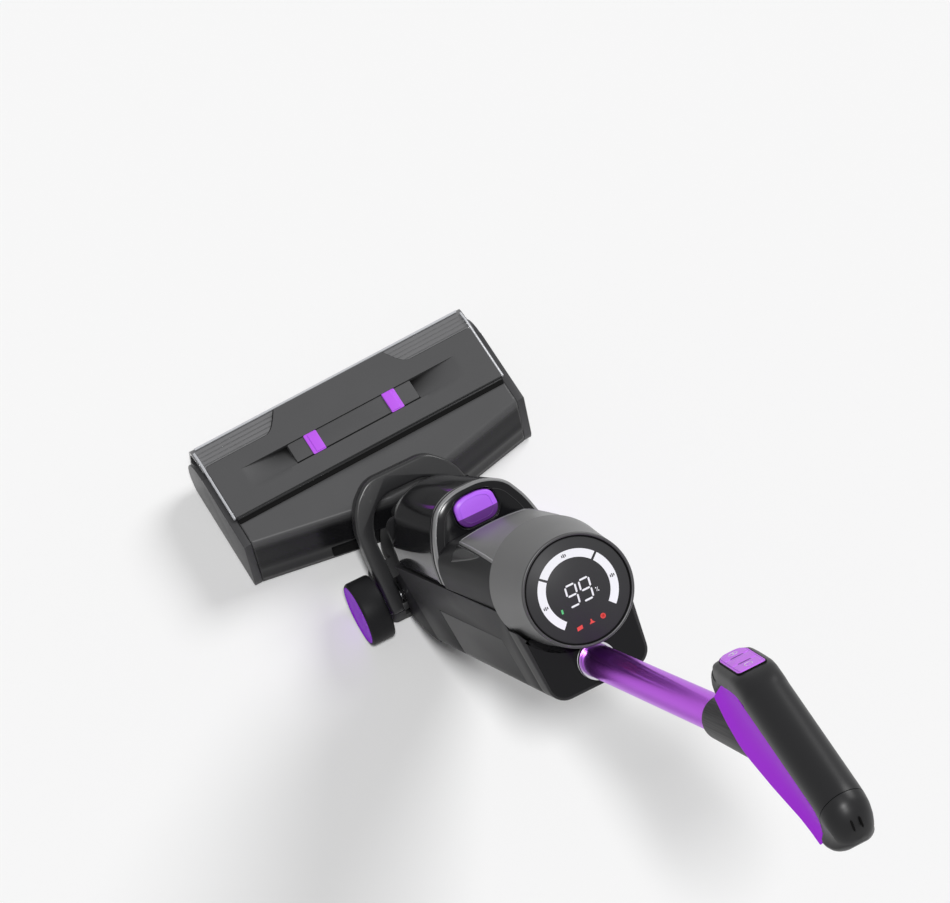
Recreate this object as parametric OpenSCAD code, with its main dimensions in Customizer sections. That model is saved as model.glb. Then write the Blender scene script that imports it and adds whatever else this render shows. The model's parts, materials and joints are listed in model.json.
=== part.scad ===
// Cordless stick vacuum with a wet floor head, a reclined body, a round display and a raked handle.
// Origin: centre of the sole plate on the floor. +Y is forward, +X is right, +Z is up.
// Everything above the wheels is drawn in the leaning body frame: x across, y to its front, z up its axis.

/* [Head] */
// Overall width of the head
head_w = 300; // [260:1:340]
// Height of the flat top cover
head_h = 66; // [60:1:72]
// Thickness of a side cheek
cheek_t = 8; // [7:0.5:14]
// Depth of the flat cover plate
plate_d = 61; // [52:1:70]
// Distance from the sole's centre forward to the plate's centre
plate_y = 40; // [38:0.5:43]
// Drop of the rear deck below the plate
deck_drop = 4; // [3:0.5:8]
// How far the rear deck reaches behind the plate at its ends
deck_reach = 26; // [20:1:30]
// How much further back the deck reaches in the middle
deck_vee = 25; // [16:1:32]
// How far the rear slope runs out at the floor
rear_run = 15; // [8:1:18]
// How far the middle of the cover reaches forward of its corners
nose_d = 20; // [14:0.5:21]
// Wall of the head mouldings
head_wall = 2.5; // [2:0.1:3.5]

/* [Roller] */
// Radius over the roller's pile
roller_r = 28; // [25:0.5:29]
// Room between the roller's end and the side wall
roller_room = 8; // [4:0.5:14]
// Thickness of the pile
pile_t = 6; // [4:0.5:8]
// Radius of the roller's end shafts
roller_pin_r = 5; // [4:0.25:6]

/* [Latches] */
// Distance between the two latch buttons
latch_pitch = 84; // [74:1:96]
// Width of a latch button
latch_w = 13; // [10:0.5:15]
// Depth of a latch button
latch_d = 21; // [16:0.5:24]
// Travel of a latch button
latch_travel = 3; // [2:0.5:4]

/* [Wheels and yoke] */
// Radius of a wheel
wheel_r = 31; // [28:0.5:34]
// Width of a wheel
wheel_w = 24; // [18:0.5:28]
// Distance over the outer faces of the wheels
wheel_track = 172; // [166:1:184]
// Distance from the sole's centre back to the wheel axle
axle_back = 121; // [117:1:128]
// Radius of the pivot and wheel pins
pin_r = 6; // [5:0.25:7]
// Distance from the wheel axle forward to the steering pin
steer_fwd = 50; // [46:1:53]
// Angle that the body is steered by at rest, to its left
steer = 2.8; // [0:0.1:6]
// Thickness of the yoke's hoop along the body
hoop_t = 18; // [14:0.5:22]
// Inner radius of the hoop, from the axle to its top bar
hoop_in = 93; // [91:0.5:95]
// Width of the hoop's band
hoop_band = 16.5; // [13:0.5:19]
// Half of the distance between the hoop's arms
arm_in = 43.5; // [43:0.25:44.5]

/* [Body] */
// Lean of the body back from upright
lean = 32.5; // [30:0.1:35]
// Half width of the body
body_hw = 52; // [49:0.5:55]
// Half width of the body at its back
rear_hw = 43.5; // [41:0.5:47]
// Wall of the body mouldings
body_wall = 2.6; // [2:0.1:3.4]
// Height up the axis where the body's shell starts
body_z0 = 95; // [95:1:98]
// Length of the body's shell
body_l = 357; // [352:1:366]
// Height of the dirty water tank
tank_l = 177; // [170:1:181]
// Front of the dirty water tank at its foot
tank_front = 107; // [104:0.5:110]
// Extra depth of the dirty water tank at its top
tank_swell = 11.5; // [6:0.5:14]

/* [Display] */
// Radius of the display housing at its end
display_r = 46.5; // [45:0.5:49]
// Height of the display housing
display_l = 75; // [68:1:82]
// Flare of the display housing towards the body
display_flare = 6.5; // [4:0.5:7.5]
// Distance of the display's centre in front of the wheel axle
display_n = 49.2; // [47.5:0.1:51]

/* [Tube and handle] */
// Outer radius of the tube
tube_r = 13.7; // [12:0.1:15]
// Wall of the tube
tube_wall = 1.2; // [0.8:0.1:2]
// Distance of the tube's axis behind the wheel axle
tube_back = 18.5; // [18:0.1:20]
// Height up the axis where the tube ends
tube_top = 840; // [810:1:870]
// Rake of the grip from square to the tube
grip_rake = 45; // [40:1:50]
// Half width of the grip's outer shell
grip_hw = 17.5; // [16:0.25:19]
// Length of the grip's straight back
grip_l = 111; // [100:1:125]
// Travel of a key
key_travel = 0.6; // [0.4:0.1:0.8]

/* [Fits] */
// Radial clearance of a turning fit
run_fit = 0.06; // [0.04:0.01:0.09]
// Gap between a moving piece and its neighbour
move_gap = 0.35; // [0.3:0.05:0.5]
// Gap between two pieces that are fixed together
seat_gap = 0.1; // [0.05:0.01:0.15]

/* [Hidden] */
$fn = 64;

// Head: outlines and levels
plate_w = head_w - 2 * cheek_t;
end_x = plate_w / 2;
plate_front = plate_y + plate_d / 2;
plate_rear = plate_y - plate_d / 2;
nose_y = plate_front + nose_d;
nose_hw = end_x - 80;
rear_end = plate_rear - deck_reach;
rear_mid = rear_end - deck_vee;
sole_t = 3;
base_z = sole_t + seat_gap;
deck_t = 2.5;
deck_z = head_h - deck_drop;
chassis_top = deck_z - deck_t - seat_gap;
bay_back = plate_rear - 0.5;
bay_foot = bay_back + 21;
skirt_h = 7;

// Roller and its drive
roller_y = plate_front - 7.5;
roller_z = roller_r + 0.5;
nose_r = roller_r + 3;
end_t = 8;
roller_l = plate_w - 2 * (end_t + roller_room);
bearing_r = 11;
motor_y = -6;
motor_z = 30;
motor_r = 16;
motor_l = 70;
rotor_r = 11;
shaft_r = 3;
belt_t = 1.6;
belt_w = 4;
roller_pulley_r = 9;
motor_pulley_r = 5.5;
pulley_x = -end_x - 0.4;
pulley_w = 5;

// Cover, window and latches
cover_t = 2.6;
cover_z = head_h - cover_t;
frame_h = 4.6;
frame_z = cover_z - seat_gap - frame_h;
cover_seat = frame_z - move_gap;
scoop_l = 194;
scoop_d = latch_d + 1.5;
scoop_z = head_h - 6.4;
pan_wall = 2;
window_t = 2.5;
window_front = roller_y + nose_r + 0.5 + window_t;
window_top = cover_z - seat_gap;
strip_w = 4;
cheek_top = deck_z - 1;

// Steering and axle
axle_y = -axle_back;
axle_z = wheel_r;
steer_y = axle_y + steer_fwd;
turret_r = 33;
carriage_z = base_z + 3.2;
carriage_top = 26;
tongue_t = 2.8;
barrel_r = 20;
barrel_hw = 33;
boss_r = 11;
ear_r = 13;
neck_hw = arm_in - 1.5;
arm_out = arm_in + hoop_band - 1;
hoop_top = hoop_in + hoop_band + 4;
hoop_s0 = 14 - hoop_t;
wheel_in = wheel_track / 2 - wheel_w;
hub_r = wheel_r - 7;
pin_head_r = pin_r + 3;

// Body, in the leaning frame
body_top = body_z0 + body_l;
body_front = 45;
body_rear = -40;
body_round = 12;
ledge_t = 8.5;
tank_z0 = body_z0 + ledge_t + 0.5;
tank_top = tank_z0 + tank_l;
tank_back = body_front + 1;
lid_t = 9;
upper_z0 = tank_top + 0.5;
panel_t = 2.6;
shield_z0 = upper_z0 + 38;
shell_r = display_r + display_flare - panel_t;
bay_z0 = body_z0 + 95;
bay_l = 210;
bay_front = 12;
fan_r = 27;
fan_h = 46;
fan_y = display_n;
fan_z0 = body_top - 94;
rotor_h = 13;
filter_r = 22;
filter_z0 = upper_z0 + body_wall + seat_gap;
battery_z0 = bay_z0 - 30;
pipe_r = 8;
pipe_y = 76;
float_r = 16;
button_w = 40;
button_d = 27;
button_y = 97;
button_travel = 2.5;
cap_z = bay_z0 + bay_l - 40;
cap_r = 13;

// Display, tube and handle
display_z0 = body_top + 0.2;
display_top = display_z0 + display_l;
glass_r = display_r - body_wall - seat_gap;
tube_y = -tube_back;
end_z = body_top + 28;
ring_r = tube_r + 2.3;
tube_foot = body_top - 22;
collar_z0 = tube_top - 30;
grip_y = tube_y + 8.5;
grip_z = tube_top + 137;
grip_front = -61;
grip_seam = grip_front + grip_l;
grip_up = 20;
grip_end = grip_seam + 35;
end_round = 20;
panel_y = grip_y + 54.3;
panel_z = grip_z - 53;
panel_tilt = 6.7;
panel_w = 24;
panel_h = 46;
panel_deep = 9;
key_w = 18;
key_h = 14;
key_pitch = 15;
key_t = 3.2;

// Rear edge shaped as a shallow V, seen from above
function vee(hw, front, back, mid) =
    [[-hw, front], [-hw, back], [-9, mid], [9, mid], [hw, back], [hw, front]];
// Rounded front of the tank, seen along the body
function arch(hw, front, back) = [
    [hw, back], [hw - 1, back + 20], [hw - 6, front - 35], [hw - 9, front - 27],
    [hw - 17, front - 12], [hw - 26, front - 5], [hw - 40, front],
    [40 - hw, front], [26 - hw, front - 5], [17 - hw, front - 12],
    [9 - hw, front - 27], [6 - hw, front - 35], [1 - hw, back + 20], [-hw, back]];

// What steers with the body, drawn as if it went straight ahead
module yoke_frame() {
    translate([0, steer_y, 0]) rotate([0, 0, -steer]) translate([0, -steer_y, 0]) children();
}
module lean_frame() {
    yoke_frame() translate([0, axle_y, axle_z]) rotate([lean, 0, 0]) children();
}
module grip_frame() {
    lean_frame() translate([0, grip_y, grip_z]) rotate([grip_rake, 0, 0]) children();
}
module panel_frame() {
    lean_frame() translate([0, panel_y, panel_z]) rotate([panel_tilt, 0, 0]) children();
}
// Cylinder along X from x0
module rod(r, l, x0, y, z) {
    translate([x0, y, z]) rotate([0, 90, 0]) cylinder(r = r, h = l);
}
// Outline in the Y and Z plane, thickened evenly to both sides along X
module prism(points, w) {
    rotate([90, 0, 90]) linear_extrude(w, center = true) polygon(points);
}
module slab(points, z, h) {
    translate([0, 0, z]) linear_extrude(h) polygon(points);
}
// Box centred on x and y, standing on z
module block(w, d, h, y, z) {
    translate([-w / 2, y - d / 2, z]) cube([w, d, h]);
}
module round_block(w, d, h, r, y, z) {
    translate([0, y, z]) linear_extrude(h) {
        square([w - 2 * r, d], center = true);
        square([w, d - 2 * r], center = true);
        for (sx = [-1, 1], sy = [-1, 1]) translate([sx * (w / 2 - r), sy * (d / 2 - r)]) circle(r);
    }
}

// ---- Head ----
module chassis_solid(inset) {
    hull() {
        slab(vee(end_x - seat_gap - inset, bay_foot - inset, rear_end - rear_run + inset,
                 rear_mid - rear_run + inset), base_z + inset, skirt_h);
        slab(vee(end_x - seat_gap - inset, bay_back - inset, rear_end + inset, rear_mid + inset),
             chassis_top - 1 - inset, 1);
    }
}
// Side of the head: a straight back, a flat top and a nose round the roller
module side_plate(r, top, x0, t) {
    intersection() {
        union() {
            translate([x0, 0, 0]) rotate([90, 0, 90]) linear_extrude(t)
                polygon([[rear_end - rear_run, base_z], [rear_end - rear_run, base_z + skirt_h],
                         [rear_end, top], [roller_y, top], [roller_y + r / 3, base_z + r / 2],
                         [roller_y, base_z]]);
            rod(r, t, x0, roller_y, roller_z);
        }
        translate([x0 - 1, rear_end - rear_run - 1, base_z]) cube([t + 2, head_w, top - base_z]);
    }
}
module chassis() color([0.13, 0.13, 0.14]) {
    difference() {
        union() {
            difference() {
                chassis_solid(0);
                chassis_solid(head_wall);
            }
            intersection() {
                chassis_solid(0);
                translate([0, steer_y, base_z]) cylinder(r = turret_r + 3.5, h = carriage_top + 2);
            }
            for (x0 = [-end_x + seat_gap, end_x - seat_gap - end_t])
                side_plate(nose_r, cover_seat, x0, end_t);
            block(28, 26, tongue_t, steer_y + 13, base_z);
            translate([0, steer_y, base_z]) cylinder(r = 14, h = tongue_t);
        }
        translate([0, steer_y, base_z + tongue_t]) cylinder(r = turret_r + 1, h = carriage_top - 1);
        translate([0, steer_y, 0]) cylinder(r = pin_r + seat_gap, h = 20);
        for (x0 = [-end_x - 1, end_x - end_t - 1])
            rod(bearing_r + seat_gap / 2, end_t + 2, x0, roller_y, roller_z);
        rod(shaft_r + 1, end_t + 2, -end_x - 1, motor_y, motor_z);
        translate([0, rear_mid + 14, 42]) rotate([90, 0, 0]) cylinder(r = 13 + seat_gap, h = 60);
        block(44 + 2 * seat_gap, 60, 20 + 2 * seat_gap, bay_foot - 15, base_z + head_wall + 0.1);
    }
}
module rear_deck() color([0.33, 0.33, 0.35])
    slab(vee(end_x - seat_gap, plate_rear - 5.5, rear_end, rear_mid), deck_z - deck_t, deck_t);

module left_cheek() color([0.2, 0.2, 0.21])
    difference() {
        side_plate(nose_r, cheek_top, -end_x - cheek_t, cheek_t);
        translate([-end_x - cheek_t + 2, 0, 0]) rotate([90, 0, 90]) linear_extrude(cheek_t)
            hull() {
                translate([roller_y, roller_z]) circle(roller_pulley_r + 5, $fn = 32);
                translate([motor_y, motor_z]) circle(motor_pulley_r + 5, $fn = 32);
            }
    }
module right_cheek() color([0.2, 0.2, 0.21])
    difference() {
        side_plate(nose_r, cheek_top, end_x, cheek_t);
        rod(bearing_r, cheek_t - 2, end_x - 0.01, roller_y, roller_z);
    }
module sole_plate() color([0.07, 0.07, 0.07])
    round_block(plate_w - 44, bay_foot - rear_end + rear_run - 1, sole_t, 6,
                (bay_foot + rear_end - rear_run) / 2, 0);

duct_z = base_z + head_wall + 0.2;
module suction_duct() color([0.18, 0.18, 0.19])
    difference() {
        union() {
            block(44, bay_foot - rear_mid - 25, 20, (bay_foot + rear_mid + 25) / 2, duct_z);
            block(44, 24, 52 - duct_z, rear_mid + 23, duct_z);
            translate([0, rear_mid + 14, 42]) rotate([90, 0, 0]) cylinder(r = 13, h = 26);
        }
        block(40, bay_foot - rear_mid, 16, (bay_foot + rear_mid) / 2 + 14, duct_z + 2);
        block(40, 20, 48 - duct_z, rear_mid + 23, duct_z + 2);
        translate([0, rear_mid + 23, 42]) rotate([90, 0, 0]) cylinder(r = 9, h = 60);
    }
module roller_motor() color([0.6, 0.6, 0.62]) {
    x0 = -end_x + seat_gap * 2 + end_t;
    difference() {
        rod(motor_r, motor_l, x0, motor_y, motor_z);
        rod(rotor_r + move_gap, motor_l - 12, x0 + 4, motor_y, motor_z);
        rod(shaft_r + move_gap, 10, x0 - 1, motor_y, motor_z);
    }
    rod(motor_r * 0.6, 6, x0 + motor_l, motor_y, motor_z);
}
module belt_outline(grow) {
    hull() {
        translate([roller_y, roller_z]) circle(roller_pulley_r + grow, $fn = 48);
        translate([motor_y, motor_z]) circle(motor_pulley_r + grow, $fn = 48);
    }
}
module drive_belt() color([0.05, 0.05, 0.05])
    translate([pulley_x - 0.5 - belt_w, 0, 0]) rotate([90, 0, 90]) linear_extrude(belt_w)
        difference() {
            belt_outline(move_gap + belt_t);
            belt_outline(move_gap);
        }
module roller_bearings() color([0.7, 0.7, 0.72])
    for (x0 = [-end_x + seat_gap, end_x - seat_gap - end_t])
        difference() {
            rod(bearing_r, end_t, x0, roller_y, roller_z);
            rod(roller_pin_r + run_fit, end_t + 2, x0 - 1, roller_y, roller_z);
        }
scraper_z = roller_z + 13.5;
module scraper() color([0.25, 0.25, 0.26]) {
    back = bay_foot - (bay_foot - bay_back) * (scraper_z - base_z - skirt_h)
           / (chassis_top - base_z - skirt_h) + seat_gap;
    front = roller_y - sqrt(pow(roller_r + move_gap + 0.1, 2) - pow(scraper_z - roller_z, 2));
    block(roller_l, front - back, 2, (front + back) / 2, scraper_z);
}
module squeegee() color([0.1, 0.1, 0.1]) {
    block(roller_l, 4, 9, bay_foot + 2.1, base_z);
    block(roller_l, 1.6, base_z - 0.2, bay_foot + 1.4, 0.3);
}
module spray_bar() color([0.3, 0.3, 0.32]) {
    rod(4, roller_l - 20, -roller_l / 2 + 10, bay_back + 15, scraper_z + 6.1);
    for (k = [-2:2]) translate([k * 50, bay_back + 21, scraper_z + 6.1]) rotate([90, 0, 0])
        cylinder(r = 1.8, h = 6);
}
module steering_pin() color([0.75, 0.75, 0.77]) {
    translate([0, steer_y, 1]) cylinder(r = pin_r + 3, h = base_z - 1 - seat_gap);
    translate([0, steer_y, 1]) cylinder(r = pin_r, h = carriage_top + 2);
    translate([0, steer_y, carriage_top + move_gap]) cylinder(r = pin_r + 3, h = 2.4);
}

// ---- Lift-off cover ----
module cover_outline() {
    translate([-end_x, plate_rear]) square([plate_w, plate_front - plate_rear - 4]);
    translate([-end_x + 4, plate_rear]) square([plate_w - 8, plate_front - plate_rear]);
    for (s = [-1, 1]) translate([s * (end_x - 4), plate_front - 4]) circle(4);
    difference() {
        translate([-nose_hw - nose_d, plate_front - 0.01])
            square([2 * (nose_hw + nose_d), nose_d + 0.01]);
        for (s = [-1, 1]) translate([s * (nose_hw + nose_d), nose_y]) circle(nose_d);
    }
}
module cover_plate() color([0.22, 0.22, 0.23])
    difference() {
        union() {
            translate([0, 0, cover_z]) linear_extrude(cover_t) cover_outline();
            block(scoop_l + 2 * pan_wall, scoop_d + 2 * pan_wall, head_h - scoop_z + pan_wall - 0.5,
                  plate_y, scoop_z - pan_wall);
        }
        difference() {
            round_block(scoop_l, scoop_d, 20, 8, plate_y, scoop_z);
            for (s = [-1, 1]) translate([0, plate_y + scoop_d, 0]) rotate([90, 0, 0])
                linear_extrude(2 * scoop_d) polygon([[s * 62, scoop_z - 1], [s * 62, scoop_z],
                    [s * (scoop_l / 2 + 1), head_h - 0.4], [s * (scoop_l / 2 + 1), scoop_z - 1]]);
        }
        for (s = [-1, 1]) translate([s * (latch_pitch / 2 - latch_travel / 2), plate_y, 0])
            block(5 + latch_travel + 2 * move_gap, 10 + 2 * move_gap, head_h, 0, 0);
    }
module cover_frame() color([0.12, 0.12, 0.13]) {
    depth = roller_y + 3.6 - plate_rear;
    difference() {
        block(plate_w - 1, depth, frame_h, plate_rear + depth / 2, frame_z);
        block(plate_w - 17, depth - 12, frame_h + 2, plate_rear + depth / 2, frame_z - 1);
    }
    for (s = [-1, 1]) translate([s * (scoop_l / 2 + pan_wall + 4), 0, 0])
        block(5, depth - 10, frame_h, plate_rear + depth / 2, frame_z);
}
// Front corner of the window: points of its outer face, or of the inner one
function window_edge(in) = [[roller_y + 4.2, window_top - in], [window_front - 9, window_top - in],
    [window_front - 4 - 0.8 * in, window_top - 1.8 - 0.8 * in],
    [window_front - 1 - in, window_top - 6 - 0.4 * in], [window_front - in, window_top - 12],
    [window_front - in, roller_z + 3]];
module front_window() color([0.25, 0.25, 0.27, 0.6]) {
    edge_in = window_edge(window_t);
    prism(concat(window_edge(0), [for (k = [5:-1:0]) edge_in[k]]), head_w - 8);
    for (s = [-1, 1]) translate([s * (end_x + strip_w / 2 + 0.1), 0, 0])
        block(strip_w - 0.2, roller_y + 9 - plate_rear, 3.2, (roller_y + 9 + plate_rear) / 2,
              cheek_top + 0.35);
}
bar_hw = latch_pitch / 2 - latch_w / 2 - latch_travel - move_gap;
module latch_bar() color([0.03, 0.03, 0.03])
    round_block(2 * bar_hw, latch_d - 1, 4, 2, plate_y, scoop_z + seat_gap);

module latch(s) color([0.45, 0.2, 0.75]) translate([s * latch_pitch / 2, 0, 0]) {
    round_block(latch_w, latch_d, head_h - scoop_z - move_gap - 0.8, 2.5, plate_y, scoop_z + move_gap);
    block(5, 10, pan_wall + 2.5, plate_y, scoop_z - pan_wall - 2);
    block(9, 10, 2, plate_y, scoop_z - pan_wall - 2 - move_gap);
}
module latch_left() latch(-1);
module latch_right() latch(1);

// ---- Roller ----
module roller_core() color([0.42, 0.2, 0.7]) {
    rod(roller_r - pile_t - seat_gap, roller_l, -roller_l / 2, roller_y, roller_z);
    rod(roller_pin_r, 2 * end_x + 7, -end_x - 5.5, roller_y, roller_z);
    rod(roller_pulley_r, pulley_w, pulley_x - pulley_w, roller_y, roller_z);
}
module roller_pile() color([0.3, 0.3, 0.33])
    difference() {
        rod(roller_r, roller_l, -roller_l / 2, roller_y, roller_z);
        rod(roller_r - pile_t, roller_l + 2, -roller_l / 2 - 1, roller_y, roller_z);
    }
module motor_pulley() color([0.85, 0.82, 0.6]) {
    rod(motor_pulley_r, pulley_w, pulley_x - pulley_w, motor_y, motor_z);
    rod(shaft_r, end_t + 12, pulley_x - 1, motor_y, motor_z);
    rod(rotor_r, motor_l - 14, -end_x + end_t + 5.5, motor_y, motor_z);
}

// ---- Steering yoke and wheels ----
module yoke_carriage() color([0.2, 0.2, 0.21]) yoke_frame()
    difference() {
        union() {
            round_block(2 * arm_out - 2, steer_fwd + 4, carriage_top - carriage_z, 8,
                        axle_y + steer_fwd / 2 - 12, carriage_z);
            translate([0, steer_y, carriage_z])
                cylinder(r = turret_r, h = carriage_top - carriage_z);
        }
        rod(barrel_r + 0.6, 2 * arm_in - 0.2, -arm_in + 0.1, axle_y, axle_z);
        for (x0 = [-arm_out - 1, arm_in - 0.1]) rod(ear_r + seat_gap, hoop_band + 2, x0, axle_y, axle_z);
        translate([0, steer_y, 0]) cylinder(r = pin_r + run_fit, h = head_h);
    }
module hoop_half(s) {
    polygon([for (p = [[0, hoop_top], [arm_out - 28, hoop_top - 1.5], [arm_out - 12, hoop_top - 15.5],
        [arm_out - 6, hoop_top - 25.5], [arm_out - 1, hoop_top - 41.5], [arm_out, 45],
        [arm_out, -ear_r + 1], [arm_in, -ear_r + 1], [arm_in, 40], [arm_in + 0.5, hoop_in - 35],
        [arm_in - 2.5, hoop_in - 23], [arm_in - 9.5, hoop_in - 9], [arm_in - 23.5, hoop_in],
        [0, hoop_in]]) [s * p[0], p[1]]]);
}
module yoke_hoop() color([0.07, 0.07, 0.08]) lean_frame()
    difference() {
        union() {
            translate([0, 0, hoop_s0]) linear_extrude(hoop_t) {
                hoop_half(1);
                hoop_half(-1);
            }
            for (s = [-1, 1]) {
                rod(ear_r, hoop_band - 1, s > 0 ? arm_in : -arm_out, 0, 0);
                translate([s * (arm_in - 3), -ear_r + 4.5, hoop_s0 + hoop_t - 1])
                    cube([12, 7, 2], center = true);
            }
        }
        rod(pin_r + seat_gap, 2 * arm_out + 2, -arm_out - 1, 0, 0);
    }
module pivot_pins() color([0.72, 0.72, 0.74]) lean_frame()
    for (s = [-1, 1]) {
        rod(pin_r, wheel_in + wheel_w - 2 - 24, s > 0 ? 24 : -wheel_in - wheel_w + 2, 0, 0);
        rod(pin_head_r, 2, s > 0 ? wheel_in + wheel_w - 4 : -wheel_in - wheel_w + 2, 0, 0);
    }
module wheel_tyre(s) color([0.06, 0.06, 0.06]) yoke_frame()
    difference() {
        rod(wheel_r, wheel_w, s > 0 ? wheel_in : -wheel_in - wheel_w, axle_y, axle_z);
        rod(hub_r, wheel_w + 2, s > 0 ? wheel_in - 1 : -wheel_in - wheel_w - 1, axle_y, axle_z);
    }
module wheel_hub(s) color([0.45, 0.2, 0.75]) yoke_frame()
    difference() {
        rod(hub_r, wheel_w, s > 0 ? wheel_in : -wheel_in - wheel_w, axle_y, axle_z);
        rod(pin_r + run_fit, wheel_w + 2, s > 0 ? wheel_in - 1 : -wheel_in - wheel_w - 1, axle_y, axle_z);
        rod(pin_head_r + 0.5, 5, s > 0 ? wheel_in + wheel_w - 4.4 : -wheel_in - wheel_w - 0.6,
            axle_y, axle_z);
    }
module wheel_tyre_left() wheel_tyre(-1);
module wheel_tyre_right() wheel_tyre(1);
module wheel_hub_left() wheel_hub(-1);
module wheel_hub_right() wheel_hub(1);

// ---- Body ----
neck_top = body_z0 - seat_gap;
module neck_outline(inset) {
    polygon([[-17 + inset, 6], [-32 + inset, 58], [-36 + inset, neck_top - inset],
             [42 - inset, neck_top - inset], [30 - inset, 52], [17 - inset, 6]]);
}
module pivot_housing() color([0.08, 0.08, 0.09]) lean_frame()
    difference() {
        union() {
            rod(barrel_r, 2 * barrel_hw, -barrel_hw, 0, 0);
            rod(boss_r, 2 * neck_hw, -neck_hw, 0, 0);
            difference() {
                rotate([90, 0, 90]) linear_extrude(2 * neck_hw, center = true) neck_outline(0);
                for (s = [-1, 1]) rod(barrel_r + 1, 20, s > 0 ? barrel_hw : -barrel_hw - 20, 0, 0);
            }
        }
        rotate([90, 0, 90]) linear_extrude(2 * barrel_hw - 2, center = true)
            intersection() {
                neck_outline(3);
                translate([-60, barrel_r + 3]) square([120, neck_top]);
            }
        rod(pin_r + run_fit, 2 * neck_hw + 2, -neck_hw - 1, 0, 0);
    }
// Cross-section of the body behind the tank, narrower at its back
module body_outline(inset) {
    r = body_round - inset;
    x_arc = rear_hw - body_round;
    y_arc = body_rear + body_round;
    polygon(concat([[body_hw - inset, body_front - inset]],
        [for (a = [0:-10:-90]) [x_arc + r * cos(a), y_arc + r * sin(a)]],
        [for (a = [-90:-10:-180]) [r * cos(a) - x_arc, y_arc + r * sin(a)]],
        [[inset - body_hw, body_front - inset]]));
}
// Room behind the body that the clean water tank fills
module clean_bay(grow) {
    translate([-body_hw - 5, body_rear - 5, bay_z0 - grow])
        cube([2 * body_hw + 10, bay_front - body_rear + 5 + grow, bay_l + 2 * grow]);
}
screw_y = body_rear - 1.5;
module screw_spots() {
    for (x = [-22, 22], z = [body_z0 + 25, bay_z0 - 15]) translate([x, screw_y, z]) children();
}
module body_shell() color([0.16, 0.16, 0.17]) lean_frame()
    difference() {
        union() {
            translate([0, 0, body_z0]) linear_extrude(body_l) body_outline(0);
            round_block(2 * body_hw - 12, 44, ledge_t, 10, body_front + 20, body_z0);
        }
        difference() {
            translate([0, 0, body_z0 + body_wall])
                linear_extrude(body_l - 2 * body_wall) body_outline(body_wall);
            clean_bay(body_wall);
        }
        clean_bay(0);
        block(2 * fan_r + 10, 8, body_top - body_wall - upper_z0 - 2, body_front, upper_z0 + 2);
        translate([0, tube_y, body_top - 10]) cylinder(r = tube_r + seat_gap, h = 20);
        screw_spots() rotate([-90, 0, 0]) cylinder(r = 2 + seat_gap, h = 8);
    }
module upper_solid(grow, floor_z) {
    hull() {
        slab([[body_hw + grow, body_front + 0.1], [body_hw + grow, 60 + grow],
              [body_hw - 4 + grow, 74 + grow], [33, 81 + grow], [-33, 81 + grow],
              [4 - body_hw - grow, 74 + grow], [-body_hw - grow, 60 + grow],
              [-body_hw - grow, body_front + 0.1]], floor_z, 1);
        intersection() {
            translate([0, display_n, body_top - 1]) cylinder(r = shell_r + grow, h = 1, $fn = 40);
            translate([-80, body_front + 0.1, body_top - 2]) cube([160, 100, 4]);
        }
    }
}
module upper_shell() color([0.05, 0.05, 0.06]) lean_frame()
    difference() {
        upper_solid(0, upper_z0);
        difference() {
            upper_solid(-body_wall, upper_z0 + 0.5);
            block(200, 200, body_wall, body_front, upper_z0);
        }
        block(2 * body_hw - 8, 10, body_l, body_front, upper_z0 + body_wall);
    }
module front_panel() color([0.36, 0.36, 0.38]) lean_frame()
    intersection() {
        difference() {
            upper_solid(panel_t, upper_z0);
            upper_solid(seat_gap, upper_z0 - 1);
        }
        translate([0, 100, 0]) rotate([90, 0, 0]) linear_extrude(60)
            polygon([[-33, shield_z0], [33, shield_z0], [39, body_top], [-39, body_top]]);
    }
module body_screws() color([0.7, 0.7, 0.72]) lean_frame()
    screw_spots() rotate([-90, 0, 0]) {
        cylinder(r = 2, h = 7);
        cylinder(r = 3.6, h = 1.4);
    }
module fan_motor() color([0.55, 0.56, 0.58]) lean_frame() {
    translate([0, fan_y, fan_z0]) cylinder(r = fan_r, h = fan_h);
    block(2 * (rear_hw - body_wall), body_front - bay_front - 2 * body_wall - 0.6, 3,
          (body_front + bay_front) / 2, fan_z0);
    translate([0, fan_y, fan_z0 + fan_h]) difference() {
        cylinder(r = fan_r + 5, h = rotor_h + 3);
        translate([0, 0, -1]) cylinder(r = fan_r + 3, h = rotor_h + 5);
    }
    translate([0, fan_y, fan_z0 + fan_h - 3]) cylinder(r = fan_r + 5, h = 3);
}
module fan_rotor() color([0.85, 0.85, 0.86]) lean_frame()
    translate([0, fan_y, fan_z0 + fan_h + move_gap]) difference() {
        union() {
            cylinder(r = fan_r + 2, h = 2);
            cylinder(r = 7, h = rotor_h);
            for (k = [0:8]) rotate([0, 0, k * 40])
                translate([6, -0.8, 0]) cube([fan_r - 5, 1.6, rotor_h - 2]);
        }
        translate([0, 0, 6]) cylinder(r = 2.5, h = rotor_h);
    }
module battery() color([0.12, 0.25, 0.3]) lean_frame() {
    block(80, 20, upper_z0 - 10 - battery_z0, bay_front + body_wall + 10.1, battery_z0);
    for (k = [-1, 1]) block(6, 3, 4, bay_front + body_wall + 10.1 + k * 5, upper_z0 - 10.1);
}
module water_pump() color([0.25, 0.25, 0.28]) lean_frame() {
    block(44, 34, 26, 0, body_z0 + body_wall + seat_gap);
    translate([0, 0, body_z0 + body_wall + 26]) cylinder(r = 11, h = 22);
    translate([0, -8, body_z0 + body_wall + 47]) cylinder(r = 3.5, h = 14);
}
module filter() color([0.8, 0.8, 0.78]) lean_frame()
    translate([0, display_n + 6, filter_z0]) difference() {
        cylinder(r = filter_r, h = fan_z0 - 12 - filter_z0);
        translate([0, 0, 3]) cylinder(r = filter_r - 10, h = fan_z0 - filter_z0);
    }

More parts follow.
